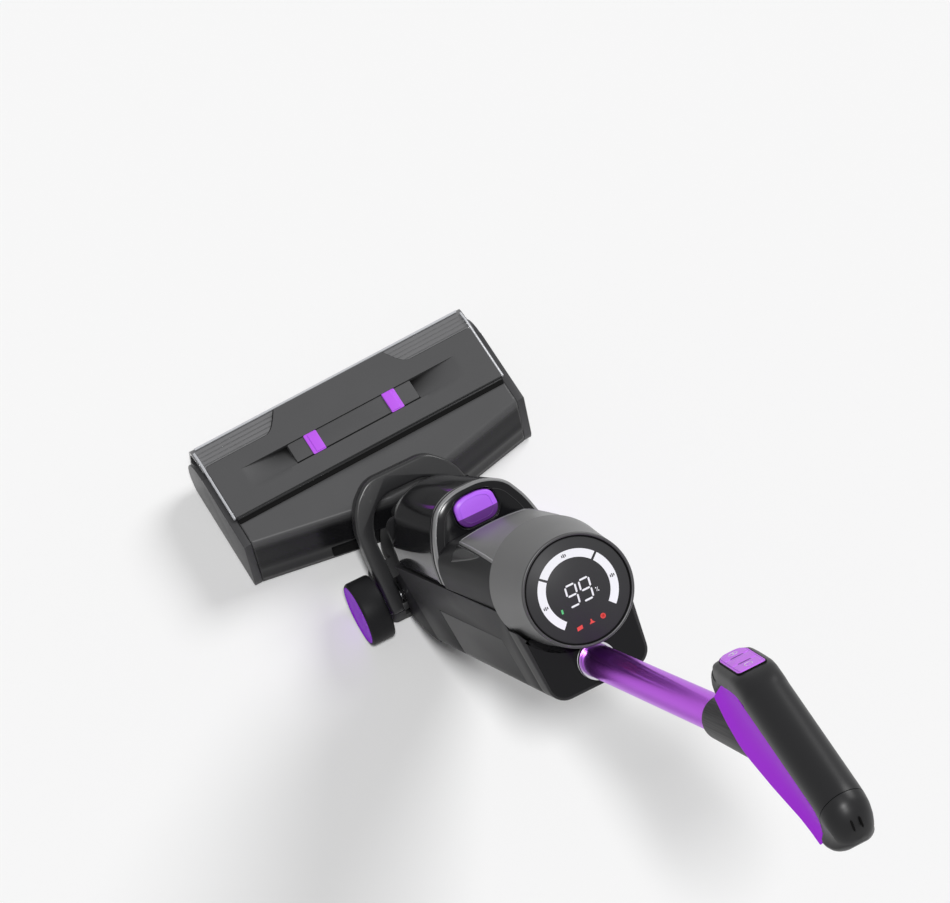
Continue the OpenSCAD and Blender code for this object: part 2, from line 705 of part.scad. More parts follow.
// ---- Dirty water tank ----
module tank_solid(inset, z, h) {
    hull() {
        slab(arch(body_hw - 2 - inset, tank_front - inset, tank_back + inset), z, 1);
        slab(arch(body_hw - inset, tank_front + tank_swell - inset, tank_back + inset), z + h - 1, 1);
    }
}
module dirty_tank() color([0.1, 0.1, 0.11]) lean_frame() {
    difference() {
        tank_solid(0, tank_z0, tank_l - lid_t - seat_gap);
        tank_solid(body_wall, tank_z0 + body_wall, tank_l - lid_t);
    }
    translate([0, pipe_y, tank_z0 + 1]) difference() {
        cylinder(r = pipe_r, h = tank_l - lid_t - 26);
        translate([0, 0, 3]) cylinder(r = pipe_r - 1.5, h = tank_l);
    }
}
module tank_lid() color([0.09, 0.09, 0.1]) lean_frame()
    difference() {
        slab(arch(body_hw, tank_front + tank_swell, tank_back), tank_top - lid_t, lid_t);
        round_block(button_w + 2 * move_gap, button_d + 2 * move_gap, lid_t, 6 + move_gap,
                    button_y, tank_top - lid_t + 2);
    }
module tank_float() color([0.5, 0.25, 0.8]) lean_frame()
    translate([0, pipe_y, tank_z0 + body_wall + move_gap]) difference() {
        cylinder(r = float_r, h = 18);
        translate([0, 0, -1]) cylinder(r = pipe_r + run_fit, h = 20);
    }
module tank_button() color([0.45, 0.2, 0.75]) lean_frame()
    round_block(button_w, button_d, lid_t - 2 - button_travel - 0.3, 6, button_y,
                tank_top - lid_t + 2 + button_travel + 0.3 + 0.6);

// ---- Clean water tank ----
module clean_tank() color([0.3, 0.3, 0.33]) lean_frame()
    difference() {
        intersection() {
            translate([0, 0, bay_z0 + 0.4]) linear_extrude(bay_l - 0.8) body_outline(0);
            translate([-80, body_rear - 1, bay_z0]) cube([160, bay_front - body_rear + 0.6, bay_l]);
        }
        intersection() {
            translate([0, 0, bay_z0 + 3]) linear_extrude(bay_l - 6) body_outline(body_wall);
            translate([-80, body_rear - 1, bay_z0])
                cube([160, bay_front - body_rear + 0.6 - body_wall, bay_l]);
        }
        translate([0, body_rear - 1, cap_z]) rotate([-90, 0, 0]) cylinder(r = cap_r - 2, h = 9);
    }
module clean_tank_cap() color([0.4, 0.4, 0.42]) lean_frame()
    translate([0, body_rear - seat_gap, cap_z]) rotate([90, 0, 0]) {
        cylinder(r = cap_r, h = 3);
        translate([0, 0, -5]) cylinder(r = cap_r - 2 - seat_gap, h = 6);
    }

// ---- Display ----
module display_housing() color([0.34, 0.34, 0.36]) lean_frame()
    translate([0, display_n, display_z0]) {
        difference() {
            cylinder(r1 = display_r + display_flare, r2 = display_r, h = display_l, $fn = 96);
            translate([0, 0, -0.01]) cylinder(r1 = display_r + display_flare - body_wall,
                r2 = display_r - body_wall, h = display_l + 0.02, $fn = 96);
        }
        translate([0, 0, display_l - 16]) difference() {
            cylinder(r = display_r - 1, h = 3);
            translate([0, 0, -1]) cylinder(r = display_r - 10, h = 5);
        }
    }
module display_board() color([0.05, 0.25, 0.12]) lean_frame()
    translate([0, display_n, display_top - 13 + seat_gap]) {
        cylinder(r = glass_r - 1, h = 1.6);
        for (k = [0:5]) rotate([0, 0, k * 60]) translate([20, 0, 1.6]) cylinder(r = 3, h = 2);
    }
module display_bezel() color([0.02, 0.02, 0.02]) lean_frame()
    translate([0, display_n, display_top - 13 + 1.6 + 2 * seat_gap]) difference() {
        cylinder(r = glass_r, h = 8.5);
        translate([0, 0, -1]) cylinder(r = glass_r - 4.5, h = 12);
    }
module display_glass() color([0.03, 0.03, 0.04]) lean_frame()
    translate([0, display_n, display_top - 2.8 + 3 * seat_gap]) cylinder(r = glass_r, h = 2);

// ---- Tube and handle ----
module end_cap() color([0.1, 0.1, 0.11]) lean_frame()
    difference() {
        translate([0, 0, body_top + seat_gap]) linear_extrude(end_z - body_top - seat_gap)
            difference() {
                body_outline(0);
                translate([0, display_n]) circle(display_r + display_flare + 0.3, $fn = 96);
            }
        translate([0, 0, body_top - 1]) linear_extrude(end_z - body_top + 1 - body_wall)
            difference() {
                body_outline(body_wall);
                translate([0, display_n]) circle(display_r + display_flare + 0.3 + body_wall);
                translate([0, tube_y]) circle(tube_r + 3);
            }
        translate([0, tube_y, body_top - 1]) cylinder(r = tube_r + seat_gap, h = 60);
    }
module tube_ring() color([0.85, 0.85, 0.87]) lean_frame()
    translate([0, tube_y, end_z + seat_gap]) difference() {
        cylinder(r = ring_r, h = 8);
        translate([0, 0, -1]) cylinder(r = tube_r + seat_gap, h = 12);
    }
module tube() color([0.55, 0.3, 0.75]) lean_frame()
    translate([0, tube_y, tube_foot]) difference() {
        cylinder(r = tube_r, h = tube_top - tube_foot);
        translate([0, 0, -1]) cylinder(r = tube_r - tube_wall, h = tube_top);
    }
// Side outline of the grip's lower part, across and along the grip
liner_points = [[-0.1, grip_front - 8], [-0.1, grip_seam + 6], [-8.5, grip_seam + 10.8],
    [-21.9, grip_seam + 15.8], [-31, grip_seam + 13.6], [-30.4, grip_seam - 10], [-44.5, 0],
    [-52, grip_front + 17], [-48, grip_front - 1], [-34, grip_front - 33], [-24, grip_front - 36]];
module grip_section(inset) {
    r = grip_hw - inset;
    translate([0, grip_up - grip_hw]) circle(r);
    translate([-r, 0]) square([2 * r, grip_up - grip_hw]);
}
module flank_section(inset) {
    polygon([[-grip_hw + inset, 0], [-grip_hw - 5.5 + inset, -52.1], [grip_hw + 5.5 - inset, -52.1],
             [grip_hw - inset, 0]]);
}
module panel_space() {
    translate([-60, -panel_deep - seat_gap, -80]) cube([120, 80, 80 + panel_h / 2 + seat_gap]);
}
module grip_shell() color([0.06, 0.06, 0.07])
    difference() {
        grip_frame() difference() {
            intersection() {
                prism([[0.1, grip_front - 5], [6, grip_front - 11], [14, grip_front - 8],
                       [grip_up, grip_front + 5], [grip_up, grip_seam], [0.1, grip_seam]], 60);
                translate([0, 0, -150]) linear_extrude(300) grip_section(0);
            }
            translate([0, -0.1, grip_front + 6])
                linear_extrude(grip_l - 6 - body_wall) grip_section(body_wall);
        }
        panel_frame() panel_space();
    }
module grip_liner() color([0.5, 0.22, 0.75])
    difference() {
        grip_frame() difference() {
            intersection() {
                prism(liner_points, 60);
                translate([0, 0, -150]) linear_extrude(300) flank_section(0);
            }
            intersection() {
                prism([[-3, grip_front + 3], [-3, grip_seam + 3], [-20, grip_seam + 10],
                       [-27, grip_seam - 12], [-41, 0], [-48.5, grip_front + 17],
                       [-45, grip_front + 3]], 60);
                translate([0, 0, -150]) linear_extrude(300) flank_section(body_wall);
            }
        }
        panel_frame() panel_space();
    }
module grip_end_cap() color([0.04, 0.04, 0.05]) grip_frame()
    intersection() {
        prism([[grip_up, grip_seam + 0.1], [grip_up, grip_seam + 12], [16, grip_seam + 23],
               [8, grip_seam + 31], [-3, grip_end], [-13, grip_end], [-24, grip_seam + 28],
               [-32, grip_seam + 17],
               [-31.3, grip_seam + 13.8], [-22, grip_seam + 16], [-8.4, grip_seam + 11],
               [0.05, grip_seam + 6.2], [0.05, grip_seam + 0.1]], 60);
        translate([0, 0, -150]) linear_extrude(300) {
            grip_section(0);
            flank_section(0);
        }
        rotate([90, 0, 0]) linear_extrude(4 * grip_up, center = true) {
            translate([-30, 0]) square([60, grip_end - end_round]);
            translate([0, grip_end - end_round]) circle(end_round);
        }
    }
module handle_collar() color([0.14, 0.14, 0.15])
    difference() {
        lean_frame() translate([0, tube_y, collar_z0]) difference() {
            cylinder(r1 = tube_r + 3.3, r2 = tube_r + 6.3, h = grip_z - 35 - collar_z0);
            translate([0, 0, -1]) cylinder(r = tube_r + seat_gap, h = grip_z);
        }
        grip_frame() prism([for (p = liner_points) [p[0] - (p[0] < -1 ? seat_gap : 0), p[1]]], 60);
    }
module key_spots() {
    for (k = [-1:1]) translate([0, 0, k * key_pitch]) children();
}
module control_panel() color([0.45, 0.25, 0.7]) panel_frame()
    difference() {
        translate([-panel_w / 2, -panel_deep, -panel_h / 2]) cube([panel_w, panel_deep, panel_h]);
        key_spots() translate([-key_w / 2 - move_gap, -key_t - key_travel + 0.4, -key_h / 2 - move_gap])
            cube([key_w + 2 * move_gap, key_t + 5, key_h + 2 * move_gap]);
    }
module key(k) color([0.5, 0.3, 0.75]) panel_frame()
    translate([-key_w / 2, -key_t + 0.8, k * key_pitch - key_h / 2]) cube([key_w, key_t, key_h]);
module key_low() key(-1);
module key_mid() key(0);
module key_high() key(1);

chassis();
rear_deck();
left_cheek();
right_cheek();
sole_plate();
suction_duct();
roller_motor();
drive_belt();
roller_bearings();
scraper();
squeegee();
spray_bar();
steering_pin();
cover_frame();
cover_plate();
front_window();
latch_bar();
latch_left();
latch_right();
roller_core();
roller_pile();
motor_pulley();
yoke_carriage();
yoke_hoop();
pivot_pins();
wheel_tyre_left();
wheel_hub_left();
wheel_tyre_right();
wheel_hub_right();
pivot_housing();
body_shell();
upper_shell();
front_panel();
body_screws();
fan_motor();
fan_rotor();
battery();
water_pump();
filter();
display_housing();
display_bezel();
display_glass();
display_board();
end_cap();
tube_ring();
tube();
handle_collar();
grip_shell();
grip_liner();
control_panel();
grip_end_cap();
dirty_tank();
tank_lid();
tank_float();
tank_button();
clean_tank();
clean_tank_cap();
key_low();
key_mid();
key_high();
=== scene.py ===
import json
import math
import bpy
import bmesh
import numpy as np
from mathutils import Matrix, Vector


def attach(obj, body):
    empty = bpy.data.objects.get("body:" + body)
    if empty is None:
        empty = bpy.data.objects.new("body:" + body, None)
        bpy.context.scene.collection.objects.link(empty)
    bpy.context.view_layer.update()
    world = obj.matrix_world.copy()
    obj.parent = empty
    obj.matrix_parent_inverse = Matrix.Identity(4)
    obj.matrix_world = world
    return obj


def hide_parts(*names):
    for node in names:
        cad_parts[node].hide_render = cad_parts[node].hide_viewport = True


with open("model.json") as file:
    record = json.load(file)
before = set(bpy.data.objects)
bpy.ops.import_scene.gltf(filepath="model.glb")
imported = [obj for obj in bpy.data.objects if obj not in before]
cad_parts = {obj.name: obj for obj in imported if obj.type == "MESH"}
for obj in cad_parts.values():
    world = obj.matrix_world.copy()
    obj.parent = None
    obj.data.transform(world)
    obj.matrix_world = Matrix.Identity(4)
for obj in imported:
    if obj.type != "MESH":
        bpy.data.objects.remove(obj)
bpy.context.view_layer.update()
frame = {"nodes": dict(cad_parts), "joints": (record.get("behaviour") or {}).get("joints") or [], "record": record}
mm = 0.001
bothSides = ((-1, "Left"), (1, "Right"))

# where things are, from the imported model: the recline axle and the directions of three joints
jointNamed = {joint["name"]: joint for joint in frame["joints"]}
axle = np.array(jointNamed["recline"]["pos_m"])
sideways = np.array(jointNamed["recline"]["axis"])
frontBody = np.array(jointNamed["waste_tank_pull"]["axis"])
upBody = np.array(jointNamed["impeller_spin"]["axis"])
bodyOf = {node: body for body, nodes in frame["record"]["behaviour"]["bodies"].items() for node in nodes}


def leanPlace(across, ahead, up):  # the leaning body's axes: mm along each direction, added up from the axle
    across, ahead, up = (part[..., None] for part in np.broadcast_arrays(across, ahead, up))
    return axle + mm * (across * sideways + ahead * frontBody + up * upBody)


def levelPlace(x, y, z):  # the head's level axes, in mm
    return mm * np.stack(np.broadcast_arrays(x, y, z), axis=-1)


def tiltedPlace(ahead, up, tilt):
    # axes through a point on the body, turned by tilt degrees about the across axis
    c, s = math.cos(math.radians(tilt)), math.sin(math.radians(tilt))
    return lambda across, out, along: leanPlace(across, ahead + out * c - along * s, up + out * s + along * c)


def wheelPlace(side):  # the last distance runs outwards along the axle, on one side of the body
    return lambda ahead, up, outwards: leanPlace(side * outwards, ahead, up)


# materials
def plug(tree, node, inputs):  # an input is linked where another node's output is given, and set otherwise
    for key, value in inputs.items():
        if isinstance(value, bpy.types.NodeSocket):
            tree.links.new(value, node.inputs[key])
        else:
            node.inputs[key].default_value = value
    return node


def addNode(tree, kind, inputs, **settings):  # a new node with its settings, then its inputs
    node = tree.nodes.new(kind)
    for name, value in settings.items():
        setattr(node, name, value)
    return plug(tree, node, inputs)


def makeGrain():
    # fine noise is the height; slow noise, less a half, times spread or tone, shifts roughness and colour
    group = bpy.data.node_groups.new("mouldedGrain", "ShaderNodeTree")
    for name in ("Color", "Scale", "Depth", "Roughness", "Spread", "Tone"):
        kind = "NodeSocketColor" if name == "Color" else "NodeSocketFloat"
        group.interface.new_socket(name, in_out="INPUT", socket_type=kind)
    outputs = {"Color": "NodeSocketColor", "Roughness": "NodeSocketFloat", "Normal": "NodeSocketVector"}
    for name, kind in outputs.items():
        group.interface.new_socket(name, in_out="OUTPUT", socket_type=kind)
    given = group.nodes.new("NodeGroupInput").outputs
    place = group.nodes.new("ShaderNodeTexCoord").outputs["Object"]
    fine = addNode(group, "ShaderNodeTexNoise", {"Vector": place, "Scale": given["Scale"], "Detail": 2.0})
    slow = addNode(group, "ShaderNodeTexNoise", {"Vector": place, "Scale": 22.0, "Detail": 3.0})
    bump = addNode(group, "ShaderNodeBump", {
        "Distance": 0.0002, "Strength": given["Depth"], "Height": fine.outputs["Fac"]})
    less = addNode(group, "ShaderNodeMath", {0: slow.outputs["Fac"], 1: 0.5}, operation="SUBTRACT")
    shift = less.outputs[0]
    sheen = addNode(group, "ShaderNodeMath", {0: shift, 1: given["Spread"], 2: given["Roughness"]},
                    operation="MULTIPLY_ADD")
    level = addNode(group, "ShaderNodeMath", {0: shift, 1: given["Tone"], 2: 1.0}, operation="MULTIPLY_ADD")
    tint = addNode(group, "ShaderNodeVectorMath", {0: given["Color"], "Scale": level.outputs[0]},
                   operation="SCALE")
    plug(group, group.nodes.new("NodeGroupOutput"), {
        "Color": tint.outputs[0], "Roughness": sheen.outputs[0], "Normal": bump.outputs["Normal"]})
    return group


grainGroup = makeGrain()
finishes = {  # colour and roughness, then what differs from makeFinish's own values
    "satinBlack": dict(color=(0.011, 0.011, 0.012), roughness=0.40, depth=0.12, shine=0.25),
    "hoopBlack": dict(color=(0.017, 0.017, 0.018), roughness=0.30, depth=0.06, shine=0.4),
    "shellBlack": dict(color=(0.017, 0.017, 0.018), roughness=0.40, grain=700, shine=0.03),
    "gripBlack": dict(color=(0.007, 0.007, 0.008), roughness=0.37, grain=800, depth=0.06, shine=0.30),
    "glossBlack": dict(color=(0.006, 0.006, 0.007), roughness=0.18, grain=300, depth=0.02, shine=0.18),
    "gasketBlack": dict(color=(0.004, 0.004, 0.004), roughness=0.6, grain=700, depth=0.2, shine=0.06),
    "coverGrey": dict(color=(0.062, 0.062, 0.064), roughness=0.47, grain=1100, depth=0.22, shine=0.3),
    "cheekGrey": dict(color=(0.036, 0.036, 0.038), roughness=0.38, grain=1000, depth=0.15, shine=0.3),
    "panelGrey": dict(color=(0.100, 0.100, 0.102), roughness=0.38, grain=1100, depth=0.15),
    "panelEdge": dict(color=(0.30, 0.30, 0.32), roughness=0.28, coat=0.2),
    "housingGrey": dict(color=(0.052, 0.052, 0.0535), roughness=0.36, grain=1000, depth=0.1),
    "sideGrey": dict(color=(0.045, 0.045, 0.046), roughness=0.42, depth=0.1, shine=0.05),
    "rimGrey": dict(color=(0.20, 0.20, 0.205), roughness=0.30, coat=0.2),
    "purplePlastic": dict(color=(0.23, 0.055, 0.52), roughness=0.3, grain=700, coat=0.2),
    "buttonDark": dict(color=(0.10, 0.030, 0.19), roughness=0.32, depth=0.06, coat=0.15),
    "sliderPurple": dict(color=(0.50, 0.09, 0.84), roughness=0.42, grain=1000, depth=0.12),
    "linerPurple": dict(color=(0.52, 0.035, 0.99), roughness=0.34, grain=800, depth=0.04, shine=0.02),
    "hubPurple": dict(color=(0.34, 0.025, 0.80), roughness=0.4, grain=800, depth=0.08, shine=0.02),
    "keyPurple": dict(color=(0.66, 0.19, 0.97), roughness=0.36, depth=0.06, shine=0.2),
    "purpleTube": dict(color=(0.50, 0.12, 0.74), roughness=0.26, metallic=1.0, edgeTint=(0.82, 0.60, 0.92),
                       grain=500, depth=0.02, spread=0.02, tone=0.02),
    "tyreRubber": dict(color=(0.010, 0.010, 0.011), roughness=0.5, grain=600, depth=0.4, shine=0.12),
    "steelSatin": dict(color=(0.55, 0.55, 0.57), roughness=0.3, metallic=1.0, grain=800),
    "silverTrim": dict(color=(0.70, 0.70, 0.73), roughness=0.2, metallic=1.0, grain=800, depth=0.01),
    "whitePlastic": dict(color=(0.75, 0.75, 0.72), roughness=0.4, grain=800),
    "boardGreen": dict(color=(0.02, 0.12, 0.05), roughness=0.3, grain=600, depth=0.1, coat=0.3),
    "pileGrey": dict(color=(0.10, 0.10, 0.13), roughness=0.9, grain=420, depth=1.0),
    "bezelGrey": dict(color=(0.040, 0.040, 0.042), roughness=0.42, depth=0.03, shine=0.15),
    "glassBlack": dict(color=(0.010, 0.010, 0.012), roughness=0.07, grain=100, depth=0.0, coat=0.5),
    "displayWhite": dict(color=(0.84, 0.85, 0.88), roughness=0.35, grain=100, depth=0.0, glow=0.12),
    "displayRed": dict(color=(0.75, 0.06, 0.05), roughness=0.4, grain=100, depth=0.0, glow=0.1),
    "displayGreen": dict(color=(0.10, 0.55, 0.20), roughness=0.4, grain=100, depth=0.0, glow=0.1),
    "iconDark": dict(color=(0.05, 0.05, 0.055), roughness=0.4, grain=100, depth=0.0),
    "iconPale": dict(color=(0.66, 0.62, 0.74), roughness=0.4, grain=100, depth=0.0),
}
bandFinishes = {  # two tones in one surface, a real second tone on the deck and painted shade on the plate and the button: the tone below, and the heights (metres) between which it turns
    "deckGrey": dict(below=(0.009, 0.009, 0.010), belowRoughness=0.2, low=0.050, high=0.061,
                     color=(0.082, 0.082, 0.084), roughness=0.36, grain=1100, depth=0.15, shine=0.22),
    # the plate's tone darkens with depth into its slot and finger scoops: painted shade in those hollows
    "plateGreyHollowShade": dict(below=(0.006, 0.006, 0.006), belowRoughness=0.4, low=0.0590, high=0.0655,
                      color=(0.066, 0.066, 0.068), roughness=0.47, grain=1100, depth=0.22, shine=0.3),
}
smokedFinishes = {  # tinted clear plastic: see is the share of light that passes
    "smokedWindow": dict(color=(0.17, 0.17, 0.175), roughness=0.16, see=0.14),
    "smokedTank": dict(color=(0.005, 0.005, 0.006), roughness=0.09, see=0.03, ior=1.22, coat=0.0),
    # the rim's pale tint is a painted highlight along the clear cover's cut edges
    "clearRimHighlight": dict(color=(0.60, 0.61, 0.64), roughness=0.28, see=0.12),
}


def makeFinish(name, color, roughness, grain=900, depth=0.05, coat=0.0, metallic=0.0, spread=0.06, tone=0.12,
               glow=0.0, shine=0.5, edgeTint=(1.0, 1.0, 1.0)):
    # moulded plastic or metal: the grain drives colour, roughness and normal, and the rest is plain
    material = bpy.data.materials.new(name)
    material.use_nodes = True
    tree = material.node_tree
    grained = addNode(tree, "ShaderNodeGroup", {
        "Color": (*color, 1.0), "Scale": grain, "Depth": depth, "Roughness": roughness, "Spread": spread,
        "Tone": tone}, node_tree=grainGroup).outputs
    shader = plug(tree, tree.nodes["Principled BSDF"], {
        "Base Color": grained["Color"], "Roughness": grained["Roughness"], "Normal": grained["Normal"],
        "Metallic": metallic, "Coat Weight": coat, "Coat Roughness": 0.08, "Specular IOR Level": shine,
        "Specular Tint": (*edgeTint, 1.0)})
    if glow:
        plug(tree, shader, {"Emission Color": (*color, 1.0), "Emission Strength": glow})
    return material


def makeBandFinish(name, below, belowRoughness, low, high, direction=(0, 0, 1), **above):
    # a smooth step from the tone below to the tone above, by the distance along a direction
    material = makeFinish(name, **above)
    tree = material.node_tree
    grained = next(node for node in tree.nodes if node.type == "GROUP").outputs
    place = tree.nodes.new("ShaderNodeTexCoord").outputs["Object"]
    along = addNode(tree, "ShaderNodeVectorMath", {0: place, 1: direction}, operation="DOT_PRODUCT")
    ramp = addNode(tree, "ShaderNodeMapRange", {
        "Value": along.outputs["Value"], "From Min": low, "From Max": high}, interpolation_type="SMOOTHSTEP")
    step = ramp.outputs["Result"]
    tone = addNode(tree, "ShaderNodeMix", {"Factor": step, "A": (*below, 1.0), "B": grained["Color"]},
                   data_type="RGBA")
    sheen = addNode(tree, "ShaderNodeMapRange", {
        "Value": step, "To Min": belowRoughness, "To Max": grained["Roughness"]})
    plug(tree, tree.nodes["Principled BSDF"], {
        "Base Color": tone.outputs["Result"], "Roughness": sheen.outputs["Result"]})
    return material


def makeSmoked(name, color, roughness, see, ior=1.45, coat=0.3):  # mostly its own tint, partly seen through
    material = makeFinish(name, color, roughness, grain=300, depth=0.0, coat=coat)
    tree = material.node_tree
    plug(tree, tree.nodes["Principled BSDF"], {"Transmission Weight": see, "IOR": ior})
    return material


buttonShadeLine = float(axle @ frontBody) + 93.6 * mm  # how far ahead the release button turns from its painted shade to its own purple
# the button's lower part is painted darker: painted shade cast by the shield's edge
bandFinishes["buttonPurpleShade"] = dict(
    below=(0.13, 0.035, 0.24), belowRoughness=0.3, low=buttonShadeLine - 0.2 * mm, high=buttonShadeLine + 0.2 * mm,
    direction=tuple(frontBody), color=(0.48, 0.135, 0.95), roughness=0.36, depth=0.06, shine=0.35)
finish = {name: makeFinish(name, **values) for name, values in finishes.items()}
finish.update({name: makeBandFinish(name, **values) for name, values in bandFinishes.items()})
finish.update({name: makeSmoked(name, **values) for name, values in smokedFinishes.items()})
packedFinishes = {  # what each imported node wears; a piece that stands for a node brings its own finish
    "satinBlack": "chassis sole_plate cover_frame end_cap suction_duct spray_bar water_pump",
    "deckGrey": "rear_deck", "cheekGrey": "left_cheek right_cheek", "coverGrey": "cover_plate latch_bar",
    "smokedWindow": "front_window", "sliderPurple": "latch_left latch_right", "pileGrey": "roller_pile",
    "purplePlastic": "roller_core tank_float", "sideGrey": "yoke_carriage handle_collar clean_tank",
    "hoopBlack": "yoke_hoop", "tyreRubber": "wheel_tyre_left wheel_tyre_right scraper squeegee drive_belt",
    "hubPurple": "wheel_hub_left wheel_hub_right",
    "steelSatin": "pivot_pins steering_pin roller_motor roller_bearings body_screws fan_motor",
    "shellBlack": "pivot_housing body_shell", "glossBlack": "upper_shell tank_lid",
    "panelGrey": "front_panel clean_tank_cap", "housingGrey": "display_housing", "bezelGrey": "display_bezel",
    "glassBlack": "display_glass", "silverTrim": "tube_ring", "purpleTube": "tube",
    "gripBlack": "grip_shell grip_end_cap", "linerPurple": "grip_liner",
    "keyPurple": "control_panel key_low key_mid key_high", "smokedTank": "dirty_tank",
    "buttonPurpleShade": "tank_button", "whitePlastic": "motor_pulley fan_rotor filter",
    "boardGreen": "battery display_board",
}
finishOf = {node: name for name, nodes in packedFinishes.items() for node in nodes.split()}
for node, name in finishOf.items():
    materials = frame["nodes"][node].data.materials
    materials.clear()
    materials.append(finish[name])
print("materials ready")


# shapes: points are worked out as arrays, in mm, and put in place by one of the place functions
def addObject(name, data):  # made and linked into the scene
    thing = bpy.data.objects.new(name, data)
    bpy.context.scene.collection.objects.link(thing)
    return thing


def pieceFrom(name, points, faces, finishName, body, standsFor=()):
    # a smooth-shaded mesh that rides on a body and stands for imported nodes
    mesh = bpy.data.meshes.new(name)
    mesh.from_pydata(np.asarray(points).reshape(-1, 3).tolist(), [], faces)
    mesh.polygons.foreach_set("use_smooth", np.ones(len(mesh.polygons), bool))
    mesh.update()
    mesh.materials.append(finish[finishName])
    piece = addObject(name, mesh)
    if body:
        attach(piece, body)
    if standsFor:
        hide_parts(*standsFor)
    return piece


def gridFaces(rows, columns, closed=False, start=0):
    # the four corners of every cell; a closed grid has cells between its last and first columns too
    across = columns if closed else columns - 1
    row, column = np.meshgrid(np.arange(rows - 1), np.arange(across), indexing="ij")
    here = row * columns + column
    beside = row * columns + (column + 1) % columns
    corners = np.stack([here, beside, beside + columns, here + columns], axis=-1)
    return (start + corners.reshape(-1, 4)).tolist()


def outwards(piece, sharp=None):
    # doubles are merged and the faces turned to point out; edges above the sharp angle stay crisp
    shape = bmesh.new()
    shape.from_mesh(piece.data)
    bmesh.ops.remove_doubles(shape, verts=shape.verts, dist=2e-6)
    bmesh.ops.recalc_face_normals(shape, faces=shape.faces)
    shape.to_mesh(piece.data)
    shape.free()
    if sharp:
        piece.data.set_sharp_from_angle(angle=math.radians(sharp))
    return piece


def ringSolid(name, rings, finishName, body, standsFor=(), sharp=None):
    # closed loops one after another, joined cell by cell, with the first and last loop filled in
    rows, columns = rings.shape[:2]
    faces = gridFaces(rows, columns, closed=True)
    faces.append(list(range(columns))[::-1])
    faces.append(list(range((rows - 1) * columns, rows * columns)))
    return outwards(pieceFrom(name, rings, faces, finishName, body, standsFor), sharp)


def ringBand(name, rings, finishName, body, standsFor=(), sharp=None):  # the same without the two fillings
    faces = gridFaces(*rings.shape[:2], closed=True)
    return outwards(pieceFrom(name, rings, faces, finishName, body, standsFor), sharp)


def roundedLoop(corners, radii, steps=8):
    # each corner becomes an arc that touches both of its sides: its centre is on the corner's bisector
    corners = np.asarray(corners, float)
    radii = np.broadcast_to(np.asarray(radii, float), len(corners))
    before, after = np.roll(corners, 1, 0) - corners, np.roll(corners, -1, 0) - corners
    lengthBefore, lengthAfter = np.linalg.norm(before, axis=1), np.linalg.norm(after, axis=1)
    before, after = before / lengthBefore[:, None], after / lengthAfter[:, None]
    half = 0.5 * np.arccos(np.clip((before * after).sum(1), -0.99999, 0.99999))
    reach = np.minimum(radii / np.tan(half), 0.49 * np.minimum(lengthBefore, lengthAfter))
    bisector = before + after
    bisector /= np.linalg.norm(bisector, axis=1)[:, None]
    centre = corners + bisector * (reach * np.tan(half) / np.sin(half))[:, None]
    first, last = corners + before * reach[:, None] - centre, corners + after * reach[:, None] - centre
    t = np.linspace(0, 1, steps)[None, :, None]
    sweep = (math.pi - 2 * half)[:, None, None]
    arc = (np.sin((1 - t) * sweep) * first[:, None] + np.sin(t * sweep) * last[:, None]) / np.sin(sweep)
    return (centre[:, None] + arc).reshape(-1, 2)


def sampled(line, count, endpoint=True):  # the same line with its points evenly spaced along its length
    line = np.asarray(line, float)
    length = np.concatenate([[0], np.cumsum(np.linalg.norm(np.diff(line, axis=0), axis=1))])
    at = np.linspace(0, length[-1], count, endpoint=endpoint)
    return np.stack([np.interp(at, length, values) for values in line.T], axis=-1)


def evenLoop(loop, count, start=None):  # the same for a closed line, from its point nearest to start
    loop = np.asarray(loop, float)
    if start is not None:
        loop = np.roll(loop, -int(np.argmin(np.linalg.norm(loop - np.asarray(start), axis=1))), 0)
    return sampled(np.vstack([loop, loop[:1]]), count, endpoint=False)


def counterClockwise(loop):  # turned round where its enclosed area comes out negative
    x, y = np.asarray(loop, float).T
    return loop if np.sum(x * np.roll(y, -1) - y * np.roll(x, -1)) > 0 else loop[::-1]


def inset(loop, amount):  # each point moved along the inward normal of a counter-clockwise loop
    along = np.roll(loop, -1, 0) - np.roll(loop, 1, 0)
    along /= np.maximum(np.linalg.norm(along, axis=1), 1e-9)[:, None]
    return loop + amount * np.stack([-along[:, 1], along[:, 0]], axis=-1)


def rimLevels(low, high, rim, steps=5):  # heights and insets of both edges, each a quarter circle
    turn = np.linspace(0, math.pi / 2, steps)
    rise, pull = rim * (1 - np.cos(turn)), rim * (1 - np.sin(turn))
    return np.concatenate([low + rise, high - rise[::-1]]), np.concatenate([pull, pull[::-1]])


def roundedSlab(name, loop, low, high, rim, place, finishName, body, standsFor=(), count=160):
    # an outline lifted from low to high, pulled in near both ends by a quarter circle
    loop = counterClockwise(evenLoop(loop, count))
    rings = np.stack([place(*inset(loop, pull).T, level) for level, pull in zip(*rimLevels(low, high, rim))])
    return ringSolid(name, rings, finishName, body, standsFor)


def lathe(name, profile, place, finishName, body, standsFor=(), count=96, sharp=None, filled=False):
    # radius and height pairs turned about the place's last axis; the profile closes on itself or is filled in
    turn = np.linspace(0, 2 * math.pi, count, endpoint=False)
    radius, height = np.asarray(profile, float).T[..., None]
    rings = place(radius * np.cos(turn), radius * np.sin(turn), height)
    if filled:
        return ringSolid(name, rings, finishName, body, standsFor, sharp)
    return ringBand(name, np.concatenate([rings, rings[:1]]), finishName, body, standsFor, sharp)


def bandAlong(name, loop, xs, place, finishName, body, standsFor=(), sharp=38):
    # one closed outline, repeated at each distance across
    loop = np.asarray(loop, float)
    rings = place(np.asarray(xs)[:, None], loop[:, 0], loop[:, 1])
    return ringSolid(name, rings, finishName, body, standsFor, sharp)


